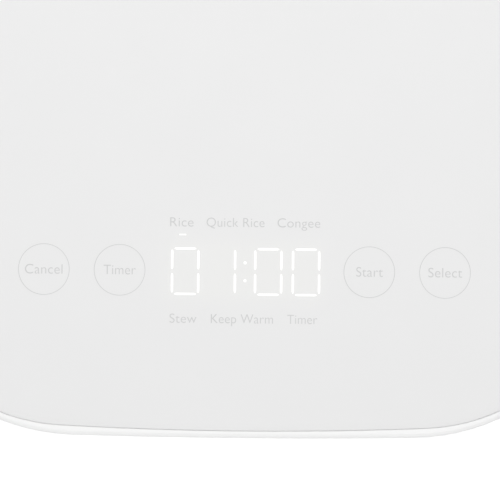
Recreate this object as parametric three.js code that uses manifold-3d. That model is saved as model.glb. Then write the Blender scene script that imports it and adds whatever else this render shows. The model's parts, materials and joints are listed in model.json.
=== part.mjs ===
// A three-litre electric rice cooker, in millimetres, +Z up, standing on z = 0 with its front at -Y.
// The origin is the middle of its footprint. Each mesh is one piece of the real assembly.
import * as THREE from "three";
import { mergeVertices } from "three/addons/utils/BufferGeometryUtils.js";
import Module from "manifold-3d";

const wasm = await Module();
wasm.setup();

// ---------------------------------------------------------------- driving dimensions

const WIDTH = 252;
const DEPTH = 310;
const HEIGHT = 205;
const WALL = 2.6; // moulded shells
const GAP = 0.3; // between pieces that touch
const FRONT = -DEPTH / 2;
const REAR = DEPTH / 2;

// The plan outline of body and lid: four flat arcs joined by round corners.
const OUTER = {
  halfWidth: WIDTH / 2,
  front: FRONT,
  rear: REAR,
  corner: 70,
  frontR: 2670,
  rearR: 2670,
  sideR: 4000,
};
// The top panel's outline, a little more bowed at the front than the lid around it.
const PANEL = {
  halfWidth: WIDTH / 2 - 3.5,
  front: FRONT + 2.5,
  rear: REAR - 2.3,
  corner: 64,
  frontR: 1254,
  rearR: 2600,
  sideR: 3990,
};

const POT_Y = -20; // the pot, chamber, heater and inner lid share this centre
const POT_R = 103;
const POT_FLANGE_R = 108.5;
const POT_WALL = 1.8;
const POT_BOTTOM = 32.3;
const POT_CORNER = 40;
const SEAT_Z = 151; // the deck's step that carries the pot's flange
const FLANGE_Z = SEAT_Z + GAP;

const FLOOR_Z = 5; // underside of the base plate
const PLATE_TOP = 8;
const LEDGE_Z = [PLATE_TOP + GAP, 11.3]; // inner ledge of the body shell
const SHELL_TOP = 148;
const DECK_TOP = 155.5;
const LID_BOTTOM = 156.5;
const PANEL_TOP = HEIGHT - 0.2;
const PANEL_THICKNESS = 3;
const PANEL_BOTTOM = PANEL_TOP - PANEL_THICKNESS;
const SHELF_Z = PANEL_BOTTOM - GAP;

const HINGE = { y: 112, z: 200, shaftR: 2, barrelR: 5, boreR: 2.35, springBoreR: 4.1 };
const EAR = { x: 90.7, halfWidth: 2.5, y: [107.5, 116.5], topR: 4.5 };
const COVER_Y = 118.5; // front of the fixed cover behind the hinge

const KEY_Y = -99.7; // the row of touch keys and the display
const KEY_X = [-66.2, -41.2, 41.2, 66.2];
const BOARD = { x: 86, y: [-126, -72], z: 192, thickness: 1.6 };

const VALVE = { x: 0, y: 55, capR: 25.8, cupR: 24, wellR: 24.5, wellWall: 1.5, floor: 168 };
const CEILING = { z: [168, 170], r: 113.5, wall: 2 };
const INNER_LID = { z: 160, r: 112, thickness: 1.2 };

const BUTTON = { z: 132, halfLength: 21.5, halfHeight: 6.7 };
const LATCH = { pivotY: -139, pivotZ: 112, pinR: 1.6, halfWidth: 5.5 };
const INLET = { x: -38, z: 40, halfX: 12.2, halfZ: 8.5, mouthY: REAR - 0.4, floorY: REAR - 17.5 };
const FOOT = { x: 82, y: 105, r: 11, stemR: 4 };
const SCREW = { x: 107.5, y: 60, r: 1.5, headR: 3.2 };
const HARNESS_R = 2.2;
const POWER_BOARD = { x: [-10, 74], y: [92, 132], z: 14 };

// ---------------------------------------------------------------- materials

function material(color, roughness, metalness = 0) {
  return new THREE.MeshStandardMaterial({ color, roughness, metalness });
}
const WHITE_SATIN = material(0xededec, 0.45);
const WHITE_MATTE = material(0xebebeb, 0.6);
const GREY_PLASTIC = material(0xc9cac9, 0.5);
const BLACK_PLASTIC = material(0x1c1d1f, 0.5);
const RUBBER = material(0x3a3b3c, 0.85);
const SILICONE = material(0xdcdcd6, 0.7);
const STEEL = material(0xb4b6b8, 0.3, 1);
const ALUMINIUM = material(0xc8cacc, 0.35, 1);
const POT_COAT = material(0x2b2c2e, 0.4, 0.3);
const BOARD_GREEN = material(0x1f5a36, 0.5);
const BRASS = material(0xc9a45a, 0.3, 1);
const WIRE = material(0xe4e4e0, 0.6);

// ---------------------------------------------------------------- solids

// A closed three.js geometry as a solid. Faces that point inwards are turned round.
function solid(geometry) {
  const bare = new THREE.BufferGeometry();
  bare.setAttribute("position", geometry.getAttribute("position").clone());
  if (geometry.index) bare.setIndex(geometry.index.clone());
  const merged = mergeVertices(bare, 1e-4);
  const kept = [];
  for (let i = 0; i < merged.index.count; i += 3) {
    const [a, b, c] = [0, 1, 2].map((k) => merged.index.getX(i + k));
    if (a !== b && b !== c && c !== a) kept.push([a, b, c]);
  }
  const build = (faces) =>
    new wasm.Manifold(
      new wasm.Mesh({
        numProp: 3,
        vertProperties: new Float32Array(merged.attributes.position.array),
        triVerts: new Uint32Array(faces.flat()),
      }),
    );
  const made = build(kept);
  return made.volume() >= 0 ? made : build(kept.map(([a, b, c]) => [a, c, b]));
}

function geometryOf(made) {
  const mesh = made.getMesh();
  const positions = new Float32Array(mesh.numVert * 3);
  for (let i = 0; i < mesh.numVert; i++) {
    positions.set(mesh.vertProperties.subarray(i * mesh.numProp, i * mesh.numProp + 3), i * 3);
  }
  return new THREE.BufferGeometry()
    .setAttribute("position", new THREE.BufferAttribute(positions, 3))
    .setIndex(new THREE.BufferAttribute(new Uint32Array(mesh.triVerts), 1));
}

const join = (first, ...rest) => rest.reduce((sum, next) => sum.add(next), first);
const cut = (first, ...rest) => rest.reduce((left, next) => left.subtract(next), first);

function box([x0, x1], [y0, y1], [z0, z1]) {
  const made = new THREE.BoxGeometry(x1 - x0, y1 - y0, z1 - z0);
  return solid(made.translate((x0 + x1) / 2, (y0 + y1) / 2, (z0 + z1) / 2));
}

// A round bar between two points.
function bar(from, to, radius, sides = 16) {
  const [a, b] = [new THREE.Vector3(...from), new THREE.Vector3(...to)];
  const along = b.clone().sub(a);
  const up = new THREE.Vector3(0, 1, 0);
  const turn = new THREE.Quaternion().setFromUnitVectors(up, along.clone().normalize());
  const made = new THREE.CylinderGeometry(radius, radius, along.length(), sides);
  const middle = a.add(b).multiplyScalar(0.5);
  return solid(made.applyQuaternion(turn).translate(middle.x, middle.y, middle.z));
}

const post = (x, y, [z0, z1], radius, sides = 12) => bar([x, y, z0], [x, y, z1], radius, sides);
const axle = (x0, x1, y, z, radius, sides = 16) => bar([x0, y, z], [x1, y, z], radius, sides);

// A profile of [radius, z] points turned about a vertical axis. A profile off the axis closes on itself.
function turned(profile, [x, y], segments = 36) {
  const points = profile.map(([r, z]) => new THREE.Vector2(r, z));
  if (profile[0][0] > 0) points.push(points[0].clone());
  return solid(new THREE.LatheGeometry(points, segments).rotateX(Math.PI / 2).translate(x, y, 0));
}

// A round tube along a smooth curve through the points.
function tube(points, radius, steps, sides = 8) {
  const curve = new THREE.CatmullRomCurve3(points.map((p) => new THREE.Vector3(...p)));
  const ring = new THREE.Shape();
  for (let k = 0; k < sides; k++) {
    const angle = (2 * Math.PI * k) / sides;
    const at = [radius * Math.cos(angle), radius * Math.sin(angle)];
    k === 0 ? ring.moveTo(...at) : ring.lineTo(...at);
  }
  return solid(new THREE.ExtrudeGeometry(ring, { steps, extrudePath: curve, bevelEnabled: false }));
}

// A coil spring along "axis" from one end to the other, with closed flat-wound wire.
class Helix extends THREE.Curve {
  constructor(centre, axis, length, radius, turns) {
    super();
    Object.assign(this, { centre, axis, length, radius, turns });
  }
  getPoint(t, target = new THREE.Vector3()) {
    const angle = 2 * Math.PI * this.turns * t;
    const [u, v, w] = [this.radius * Math.cos(angle), this.radius * Math.sin(angle), this.length * t];
    const local = { x: [w, u, v], y: [v, w, u], z: [u, v, w] }[this.axis];
    return target.set(...local).add(new THREE.Vector3(...this.centre));
  }
}

function coil(centre, axis, length, radius, turns, wire, stepsPerTurn = 8) {
  const ring = new THREE.Shape();
  ring.absarc(0, 0, wire, 0, 2 * Math.PI);
  const path = new Helix(centre, axis, length, radius, turns);
  const steps = Math.round(turns * stepsPerTurn);
  const options = { steps, curveSegments: 2, extrudePath: path, bevelEnabled: false };
  return solid(new THREE.ExtrudeGeometry(ring, options));
}

// ---------------------------------------------------------------- the plan outline

const SEGMENTS = { end: 3, corner: 8, side: 2 };

// The centre of a circle of radius r that touches two larger circles from inside, on the side of "near".
function nested(c1, r1, c2, r2, r, near) {
  const [d1, d2] = [r1 - r, r2 - r];
  const gap = c2.clone().sub(c1);
  const d = gap.length();
  const along = (d1 * d1 - d2 * d2 + d * d) / (2 * d);
  const across = Math.sqrt(Math.max(d1 * d1 - along * along, 0));
  const unit = gap.normalize();
  const foot = c1.clone().addScaledVector(unit, along);
  const normal = new THREE.Vector2(-unit.y, unit.x);
  const found = [across, -across].map((s) => foot.clone().addScaledVector(normal, s));
  return found.sort((a, b) => a.distanceTo(near) - b.distanceTo(near))[0];
}

function arc(centre, radius, from, to, count) {
  return Array.from({ length: count + 1 }, (_, k) => {
    const angle = from + ((to - from) * k) / count;
    return new THREE.Vector2(centre.x + radius * Math.cos(angle), centre.y + radius * Math.sin(angle));
  });
}

// The outline's points, anticlockwise from the front's middle, "inset" inside the outline.
function outline(plan, inset = 0) {
  const middleY = (plan.front + plan.rear) / 2;
  const frontC = new THREE.Vector2(0, plan.front + plan.frontR);
  const rearC = new THREE.Vector2(0, plan.rear - plan.rearR);
  const sideC = new THREE.Vector2(plan.halfWidth - plan.sideR, middleY);
  const c = plan.corner;
  const corner = (y) => new THREE.Vector2(plan.halfWidth, y);
  const lower = nested(frontC, plan.frontR, sideC, plan.sideR, c, corner(plan.front));
  const upper = nested(rearC, plan.rearR, sideC, plan.sideR, c, corner(plan.rear));
  const angleTo = (from, to) => Math.atan2(to.y - from.y, to.x - from.x);
  const right = [
    arc(frontC, plan.frontR - inset, -Math.PI / 2, angleTo(frontC, lower), SEGMENTS.end),
    arc(lower, c - inset, angleTo(frontC, lower), angleTo(sideC, lower), SEGMENTS.corner),
    arc(sideC, plan.sideR - inset, angleTo(sideC, lower), angleTo(sideC, upper), SEGMENTS.side),
    arc(upper, c - inset, angleTo(sideC, upper), angleTo(rearC, upper), SEGMENTS.corner),
    arc(rearC, plan.rearR - inset, angleTo(rearC, upper), Math.PI / 2, SEGMENTS.end),
  ].flatMap((points, k) => (k ? points.slice(1) : points));
  const left = right.slice(1, -1).reverse().map((p) => new THREE.Vector2(-p.x, p.y));
  return [...right, ...left];
}

// A solid whose sections are the outline at [z, inset] steps, from the bottom up.
function lofted(plan, sections) {
  const rings = sections.map(([z, inset]) => outline(plan, inset).map((p) => [p.x, p.y, z]));
  const count = rings[0].length;
  const faces = [];
  for (let i = 0; i + 1 < rings.length; i++) {
    for (let j = 0; j < count; j++) {
      const next = (j + 1) % count;
      const [a, b, c, d] = [i * count + j, i * count + next, (i + 1) * count + next, (i + 1) * count + j];
      faces.push(a, b, c, a, c, d);
    }
  }
  const ends = THREE.ShapeUtils.triangulateShape(outline(plan, 0), []);
  const top = (rings.length - 1) * count;
  for (const [a, b, c] of ends) faces.push(a, c, b, top + a, top + b, top + c);
  const geometry = new THREE.BufferGeometry()
    .setAttribute("position", new THREE.BufferAttribute(new Float32Array(rings.flat(2)), 3))
    .setIndex(faces);
  return solid(geometry);
}

// Sections of a rounded edge: "radius" high and wide, closing inwards at z, upwards (+1) or downwards (-1).
function rounded(z, radius, direction, inset = 0, count = 3) {
  const steps = Array.from({ length: count + 1 }, (_, k) => {
    const angle = ((Math.PI / 2) * k) / count;
    return [z - direction * radius * (1 - Math.sin(angle)), inset + radius * (1 - Math.cos(angle))];
  });
  return direction > 0 ? steps : steps.reverse();
}

const BIG = 400;
const inFrontOf = (y) => box([-BIG, BIG], [-BIG, y], [-BIG, BIG]);
const behind = (y) => box([-BIG, BIG], [y, BIG], [-BIG, BIG]);
const bothSides = (make) => [make(-1), make(1)];

// A plate in the XZ plane with round ends, from y0 to y1.
function pill(halfLength, halfHeight, z, [y0, y1]) {
  const shape = new THREE.Shape();
  shape.absarc(halfLength - halfHeight, 0, halfHeight, -Math.PI / 2, Math.PI / 2);
  shape.absarc(halfHeight - halfLength, 0, halfHeight, Math.PI / 2, (3 * Math.PI) / 2);
  const made = new THREE.ExtrudeGeometry(shape, { depth: y1 - y0, bevelEnabled: false, curveSegments: 6 });
  return solid(made.rotateX(Math.PI / 2).translate(0, y1, z));
}

// ---------------------------------------------------------------- the body

const footPlaces = [
  ["front_left", -FOOT.x, -FOOT.y],
  ["front_right", FOOT.x, -FOOT.y],
  ["rear_left", -FOOT.x, FOOT.y],
  ["rear_right", FOOT.x, FOOT.y],
];
const screwPlaces = [-1, 1].flatMap((sx) => [-1, 1].map((sy) => [sx * SCREW.x, sy * SCREW.y]));

function bodyShell() {
  const bottomRadius = 10;
  const outside = lofted(OUTER, [...rounded(FLOOR_Z, bottomRadius, -1), [SHELL_TOP, 0]]);
  const hollow = [[LEDGE_Z[1], 6.5], [FLOOR_Z + bottomRadius, 3.2], [24, WALL], [SHELL_TOP + 1, WALL]];
  const inside = lofted(OUTER, hollow);
  const opening = lofted(OUTER, [[FLOOR_Z - 1, 14], [LEDGE_Z[0], 14]]);
  const ledge = lofted(OUTER, [[FLOOR_Z, 20], [LEDGE_Z[1] + 1, 20]]);
  const button = pill(BUTTON.halfLength + GAP, BUTTON.halfHeight + GAP, BUTTON.z, [FRONT - 1, FRONT + 6]);
  const inlet = box(
    [INLET.x - INLET.halfX - 2.4 - GAP, INLET.x + INLET.halfX + 2.4 + GAP],
    [REAR - 6, REAR + 1],
    [INLET.z - INLET.halfZ - 2.4 - GAP, INLET.z + INLET.halfZ + 2.4 + GAP],
  );
  const screws = screwPlaces.map(([x, y]) => post(x, y, [FLOOR_Z, 10.8], SCREW.r + GAP, 10));
  return cut(outside, inside, opening, ledge, button, inlet, ...screws);
}

function basePlate() {
  const plate = lofted(OUTER, [[FLOOR_Z, 14 + GAP], [PLATE_TOP, 14 + GAP]]);
  const slots = [];
  for (let k = -3; k <= 3; k++) {
    slots.push(box([k * 13 - 2, k * 13 + 2], [POT_Y - 36, POT_Y + 36], [0, 10]));
  }
  const feet = footPlaces.map(([, x, y]) => post(x, y, [0, 10], FOOT.stemR + GAP, 10));
  const screws = screwPlaces.map(([x, y]) => post(x, y, [0, 10], SCREW.r + GAP, 10));
  const standoffs = [POWER_BOARD.x[0] + 4, POWER_BOARD.x[1] - 4].flatMap((x) =>
    [POWER_BOARD.y[0] + 4, POWER_BOARD.y[1] - 4].map((y) => post(x, y, [7, POWER_BOARD.z - GAP], 3, 8)),
  );
  return join(cut(plate, ...slots, ...feet, ...screws), ...standoffs);
}

function foot(x, y) {
  const under = FLOOR_Z - GAP;
  const pad = [[0, 0], [FOOT.r - 1, 0], [FOOT.r, 1], [FOOT.r, under]];
  return turned([...pad, [FOOT.stemR, under], [FOOT.stemR, 7.5], [0, 7.5]], [x, y], 16);
}

function baseScrew(x, y) {
  const under = FLOOR_Z - GAP;
  const head = [[0, 3], [SCREW.headR - 0.7, 3], [SCREW.headR, 3.6], [SCREW.headR, under]];
  return turned([...head, [SCREW.r, under], [SCREW.r, 10.3], [0, 10.5]], [x, y], 10);
}

// The top frame: a band between body and lid, the pot's seat, and a skirt inside the body.
function deckRing() {
  const bottom = SHELL_TOP + GAP;
  const band = lofted(OUTER, [[bottom, 0.4], [DECK_TOP - 0.5, 0.4], [DECK_TOP, 0.9]]);
  const skirtOutside = lofted(OUTER, [[141, WALL + GAP], [bottom + 0.1, WALL + GAP]]);
  const skirt = cut(skirtOutside, lofted(OUTER, [[140, 5], [150, 5]]));
  const potHole = post(0, POT_Y, [130, 170], POT_R + 1.5, 36);
  const seat = post(0, POT_Y, [SEAT_Z, 170], POT_FLANGE_R + 1.5, 36);
  const strikerSlot = box([-10.5, 10.5], [-150.5, -131.2], [130, 170]);
  const harnessHole = post(60, 126, [130, 170], 4.5);
  return cut(join(band, skirt), potHole, seat, strikerSlot, harnessHole);
}

function hingeCover() {
  const whole = lofted(OUTER, [[DECK_TOP + GAP, 0], ...rounded(HEIGHT, 1.5, 1)]);
  const outside = whole.intersect(behind(COVER_Y));
  const inside = lofted(OUTER, [[150, WALL], [HEIGHT - WALL, WALL]]).intersect(behind(COVER_Y + WALL));
  const notches = bothSides((s) => {
    const x = [s * EAR.x - EAR.halfWidth - 0.5, s * EAR.x + EAR.halfWidth + 0.5];
    return box(x, [COVER_Y - 1, COVER_Y + WALL + 1], [150, 158.6]);
  });
  return cut(outside, inside, ...notches);
}

function hingeBracket(side) {
  const x = [side * EAR.x - EAR.halfWidth, side * EAR.x + EAR.halfWidth];
  const stand = DECK_TOP + GAP;
  const ear = join(box(x, EAR.y, [stand, HINGE.z]), axle(...x, HINGE.y, HINGE.z, EAR.topR, 20));
  const foot = box(x, [EAR.y[0], 133], [stand, 158]);
  const pad = box([side * EAR.x - 8, side * EAR.x + 8], [122.5, 133], [stand, 158]);
  return cut(join(ear, foot, pad), axle(x[0] - 1, x[1] + 1, HINGE.y, HINGE.z, HINGE.boreR, 16));
}

const hingeShaft = () => axle(-97, 97, HINGE.y, HINGE.z, HINGE.shaftR, 16);

function lidSpring(side) {
  const start = side > 0 ? 68 : -86;
  return coil([start, HINGE.y, HINGE.z], "x", 18, 3.15, 5, 0.55);
}

// ---------------------------------------------------------------- pot, chamber and heater

// Points along the pot's rounded bottom, from the flat to the wall, for a shell "inside" its outer face.
function potBowl(inside, count = 4) {
  const radius = POT_CORNER - inside;
  return Array.from({ length: count + 1 }, (_, k) => {
    const angle = ((Math.PI / 2) * k) / count;
    const r = POT_R - POT_CORNER + radius * Math.sin(angle);
    return [r, POT_BOTTOM + POT_CORNER - radius * Math.cos(angle)];
  });
}

function innerPot() {
  const top = FLANGE_Z + 1.5;
  const inside = POT_R - POT_WALL;
  const outer = [[0, POT_BOTTOM], ...potBowl(0), [POT_R, FLANGE_Z]];
  const flange = [[POT_FLANGE_R, FLANGE_Z], [POT_FLANGE_R, top]];
  const inner = [[inside + 0.8, top], [inside, top - 0.8], ...potBowl(POT_WALL).reverse()];
  return turned([...outer, ...flange, ...inner, [0, POT_BOTTOM + POT_WALL]], [0, POT_Y]);
}

function potLiner() {
  const [out, wall, brim] = [106.3, 0.8, 112];
  const [low, top] = [22, SHELL_TOP];
  const outer = [[74, low], [out, low], [out, top - wall], [brim, top - wall], [brim, top]];
  return turned([...outer, [out - wall, top], [out - wall, low + wall], [74, low + wall]], [0, POT_Y]);
}

const sideHeater = () => turned([[106.7, 85], [107.7, 85], [107.7, 112], [106.7, 112]], [0, POT_Y]);

function heatingPlate() {
  const [bore, top] = [14.7, POT_BOTTOM - GAP];
  const under = [[bore, 20], [68, 20], [68, 23.1], [80, 23.1], [80, 25.5], [72, 26.5]];
  return turned([...under, [70, top + 0.3], [62, top], [bore, top]], [0, POT_Y]);
}

// The sheathed element under the plate: most of a ring, with its two ends turned down.
function heaterElement() {
  const ringR = 48;
  const points = Array.from({ length: 13 }, (_, k) => {
    const angle = Math.PI / 2 + 0.16 + ((2 * Math.PI - 0.32) * k) / 12;
    return [ringR * Math.cos(angle), POT_Y + ringR * Math.sin(angle), 16];
  });
  const ends = [-7.6, 7.6].map((x) => [x, POT_Y + ringR + 12, 13.5]);
  return tube([ends[0], ...points, ends[1]], 3.3, 36, 6);
}

function thermalFuse() {
  return bar([32, POT_Y - 9, 17.2], [32, POT_Y + 9, 17.2], 2.2, 12);
}

// ---------------------------------------------------------------- the sprung temperature sensor

function sensorCap() {
  const top = POT_BOTTOM - GAP;
  const cap = [[0, top], [12.8, top], [14, top - 1.2], [14, 16.5]];
  const collar = [[16.3, 16.5], [16.3, 15.3], [12.6, 15.3]];
  return turned([...cap, ...collar, [12.6, 30], [0, 30]], [0, POT_Y], 20);
}

function sensorThermistor() {
  return turned([[0, 24], [3.4, 24], [4, 24.6], [4, 29.7], [0, 29.7]], [0, POT_Y], 16);
}

function sensorBracket() {
  return turned([[0, 8.4], [19, 8.4], [19, 19.7], [17.8, 19.7], [17.8, 9.6], [0, 9.6]], [0, POT_Y], 20);
}

const sensorSpring = () => coil([0, POT_Y, 10.7], "z", 18.2, 9.5, 5, 0.7, 10);

// ---------------------------------------------------------------- the electrics in the base

function powerBoard() {
  const { x, y, z } = POWER_BOARD;
  return box(x, y, [z, z + 1.6]);
}

function powerTransformer() {
  const z = POWER_BOARD.z + 1.6 + GAP;
  const core = (low, high) => box([-5, 19], [96, 116], [z + low, z + high]);
  return join(core(0, 4), box([-3, 17], [98, 114], [z + 3.9, z + 17]), core(16.9, 20));
}

function powerRelay() {
  const z = POWER_BOARD.z + 1.6 + GAP;
  return box([26, 45], [96, 112], [z, z + 15.5]);
}

function filterCapacitor() {
  const z = POWER_BOARD.z + 1.6 + GAP;
  return turned([[0, z], [7.4, z], [8, z + 1], [8, z + 20], [7, z + 21], [0, z + 21]], [36, 122], 24);
}

function powerInlet() {
  const { x, z, halfX, halfZ, mouthY, floorY } = INLET;
  const wall = 2.4;
  const about = (middle, half) => [middle - half, middle + half];
  const square = (grow, y) => box(about(x, halfX + grow), y, about(z, halfZ + grow));
  const flangeY = REAR - WALL - GAP - 0.4;
  const bodyBlock = join(square(wall, [floorY - 3, mouthY]), square(6, [flangeY - 2.6, flangeY]));
  const pins = pinPlaces().map(([, px, pz]) => box(about(px, 1.3), [100, REAR], about(pz, 2.3)));
  return cut(bodyBlock, square(0, [floorY, REAR + 1]), ...pins);
}

function pinPlaces() {
  return [
    ["line", INLET.x - 7, INLET.z - 2],
    ["earth", INLET.x, INLET.z + 2.4],
    ["neutral", INLET.x + 7, INLET.z - 2],
  ];
}

const inletPin = (x, z) => box([x - 1, x + 1], [INLET.floorY - 11, INLET.mouthY - 2.5], [z - 2, z + 2]);

function bodyHarness() {
  const upper = [[60, 127, 190], [60, 126, 170], [60, 126, 150]];
  const lower = [[60, 125, 110], [61, 122, 60], [62, 120, 30], [62, 119, 17]];
  return tube([...upper, ...lower], HARNESS_R, 20, 6);
}

// ---------------------------------------------------------------- button and latch

function releaseButton() {
  const { halfLength, halfHeight, z } = BUTTON;
  const inside = FRONT + WALL + GAP;
  const face = pill(halfLength, halfHeight, z, [FRONT + 0.2, inside + 0.2]);
  const flange = pill(halfLength + 2.5, halfHeight + 1.8, z, [inside + 0.1, FRONT + 4.4]);
  const stem = box([-4, 4], [FRONT + 4.3, -143.6], [z, z + 6]);
  return join(face, flange, stem);
}

// The lever turns on the pin. Its nose points forward through the striker's window.
function latchHook() {
  const x = [-LATCH.halfWidth, LATCH.halfWidth];
  const { pivotY, pivotZ, pinR } = LATCH;
  const arm = join(box(x, [-143.3, -138], [pivotZ, 154.6]), axle(...x, pivotY, pivotZ, 4, 16));
  const nose = new THREE.Shape();
  nose.moveTo(-149.4, 151.4);
  nose.lineTo(-143.2, 151.4);
  nose.lineTo(-143.2, 155.6);
  nose.lineTo(-145.5, 155.6);
  nose.lineTo(-149.4, 152.9);
  const made = new THREE.ExtrudeGeometry(nose, { depth: x[1] - x[0], bevelEnabled: false });
  // The shape's (x, y) are the piece's (y, z), and its depth runs along x.
  const turn = new THREE.Matrix4().makeBasis(
    new THREE.Vector3(0, 1, 0),
    new THREE.Vector3(0, 0, 1),
    new THREE.Vector3(1, 0, 0),
  );
  const head = solid(made.applyMatrix4(turn).translate(x[0], 0, 0));
  const bridge = box(x, [-143.3, -138], [154.4, 155.6]);
  return cut(join(arm, head, bridge), axle(x[0] - 1, x[1] + 1, pivotY, pivotZ, pinR + GAP, 14));
}

const latchPin = () => axle(-11, 11, LATCH.pivotY, LATCH.pivotZ, LATCH.pinR, 14);

function latchBracket() {
  const back = box([-10, 10], [-131, -129.5], [104, 146.8]);
  const ears = bothSides((s) => box(s > 0 ? [8, 10] : [-10, -8], [-143.5, -130.9], [104, 118]));
  const hole = axle(-12, 12, LATCH.pivotY, LATCH.pivotZ, LATCH.pinR + GAP, 14);
  return cut(join(back, ...ears), hole);
}

const latchSpring = () => coil([0, -137.1, 134], "y", 5.2, 3, 3, 0.5);

// ---------------------------------------------------------------- the lid

// Clears the two hinge ears from a lid piece at every angle.
function earNotches() {
  const half = EAR.halfWidth + 0.7;
  return bothSides((s) => box([s * EAR.x - half, s * EAR.x + half], [106.3, 125], [150, 210]));
}

function lidShell() {
  const whole = lofted(OUTER, [[LID_BOTTOM, 0], ...rounded(HEIGHT, 1.5, 1)]);
  const outside = whole.intersect(inFrontOf(HINGE.y));
  const inside = lofted(OUTER, [[150, WALL], [SHELF_Z - 2.5, WALL]]).intersect(inFrontOf(HINGE.y - 2.5));
  const barrel = axle(-113, 113, HINGE.y, HINGE.z, HINGE.barrelR, 24);
  const recess = lofted(PANEL, [[SHELF_Z, -0.5], [210, -0.5]]).intersect(inFrontOf(108));
  const window = lofted(OUTER, [[190, 10], [210, 10]]).intersect(inFrontOf(101));
  const bore = axle(-130, 130, HINGE.y, HINGE.z, HINGE.boreR, 16);
  const springBores = bothSides((s) => axle(s * 66, s * 88, HINGE.y, HINGE.z, HINGE.springBoreR, 16));
  return cut(join(cut(outside, inside), barrel), recess, window, bore, ...springBores, ...earNotches());
}

function lidPanel() {
  const edge = [[0.75, 0], [0.4, 1], [0.12, 2.4], [0, 4]].map(([drop, inset]) => [PANEL_TOP - drop, inset]);
  const plate = lofted(PANEL, [[PANEL_BOTTOM, 0], ...edge]).intersect(inFrontOf(107.5));
  return cut(plate, post(VALVE.x, VALVE.y, [190, 210], VALVE.capR + 0.5, 40));
}

// The lid's lower shell: the inner lid's recess, the steam well and posts for the control board.
function lidLiner() {
  const rim = lofted(OUTER, [[157.5, WALL + GAP], [160, WALL + GAP]]).intersect(inFrontOf(HINGE.y - 2.8));
  const drum = post(0, POT_Y, [157.5, CEILING.z[1]], CEILING.r + CEILING.wall, 36);
  const recess = post(0, POT_Y, [150, CEILING.z[0]], CEILING.r, 36);
  const well = post(VALVE.x, VALVE.y, [VALVE.floor, PANEL_BOTTOM - 0.4], VALVE.wellR + VALVE.wellWall, 32);
  const bore = post(VALVE.x, VALVE.y, [CEILING.z[1], 210], VALVE.wellR, 32);
  const duct = post(VALVE.x, VALVE.y, [160, 180], 8.2, 20);
  const posts = [
    [-80, -122, 159],
    [80, -122, 159],
    [-80, -76, 169],
    [80, -76, 169],
  ].map(([x, y, z]) => post(x, y, [z, BOARD.z - GAP], 3, 10));
  const pocket = box([-12.5, 12.5], [-141.6, -131], [150, 167]);
  const rib = box([-6, 6], [-145.8, -144], [159, 166]);
  return cut(join(cut(join(rim, drum), recess), well, ...posts, rib), bore, duct, pocket, ...earNotches());
}

// The steel catch that hangs from the lid: its window takes the hook's nose.
function lidStriker() {
  const plate = box([-9, 9], [-147.6, -146.1], [147, 157.2]);
  const window = box([-6.8, 6.8], [-150, -140], [150.6, 156.2]);
  const fold = box([-9, 9], [-150.5, -146.1], [156.1, 157.2]);
  return join(cut(plate, window), fold);
}

const controlBoard = () => box([-BOARD.x, BOARD.x], BOARD.y, [BOARD.z, BOARD.z + BOARD.thickness]);

function ledDisplay() {
  const z = [BOARD.z + BOARD.thickness + GAP, PANEL_BOTTOM - GAP];
  const body = box([-29, 29], [KEY_Y - 13, KEY_Y + 13], [z[0], z[1] - 1]);
  return join(body, box([-27.5, 27.5], [KEY_Y - 11.5, KEY_Y + 11.5], [z[1] - 1.1, z[1]]));
}

function touchSpring(x) {
  const z = BOARD.z + BOARD.thickness + GAP + 0.5;
  return coil([x, KEY_Y, z], "z", PANEL_BOTTOM - GAP - 0.5 - z, 4.2, 3, 0.4);
}

function lidHarness() {
  const route = [[60, -76, 188.6], [61, -50, 180], [62, 0, 174], [61, 60, 176], [60, 103, 187]];
  return tube(route, HARNESS_R, 18, 6);
}

// ---------------------------------------------------------------- the detachable inner lid

function innerLid() {
  const { z, r, thickness: t } = INNER_LID;
  const under = [[0, z + 3.4], [36, z + 3.4], [44, z], [r - 1.5, z], [r, z + 0.5]];
  const over = [[r, z + 0.5 + 0.7], [r - 1.5, z + t], [43.4, z + t], [35.4, z + 3.4 + t], [0, z + 3.4 + t]];
  const disc = turned([...under, ...over], [0, POT_Y]);
  const vents = [-8, -4, 0, 4, 8].map((x) => post(x, VALVE.y - Math.abs(x) * 0.3, [150, 170], 1.3, 8));
  return cut(disc, ...vents);
}

function lidGasket() {
  const top = INNER_LID.z - GAP;
  const lip = FLANGE_Z + 1.5 + GAP;
  const outer = [[104, lip], [107.2, lip], [108.4, lip + 1.6], [109, lip + 3.4], [109, top]];
  return turned([...outer, [101.6, top], [101.6, top - 2], [103, top - 3.4]], [0, POT_Y]);
}

function steamDuctSeal() {
  const profile = [[8.6, 161.5], [12.4, 161.5], [11, 164], [12.4, 167.7], [9.4, 167.7], [8.6, 164]];
  return turned(profile, [VALVE.x, VALVE.y], 16);
}

function innerLidClip() {
  const block = box([-11.8, 11.8], [-138.4, -134], [158, 165]);
  const nose = box([-11.8, 11.8], [-134.1, -130], [158.1, INNER_LID.z - GAP]);
  return join(block, nose);
}

const clipSpring = () => coil([0, -142.6, 162.6], "y", 3.4, 2.2, 2.5, 0.4);

// ---------------------------------------------------------------- the steam valve

function steamValveCup() {
  const { cupR, floor } = VALVE;
  const low = floor + 2.6;
  const top = PANEL_BOTTOM - 0.6;
  const inside = cupR - 1.5;
  const outer = [[5.8, 164.5], [7.2, 164.5], [7.2, low], [cupR, low], [cupR, top]];
  const profile = [...outer, [inside, top], [inside, low + 1.5], [5.8, low + 1.5]];
  return turned(profile, [VALVE.x, VALVE.y], 24);
}

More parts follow.
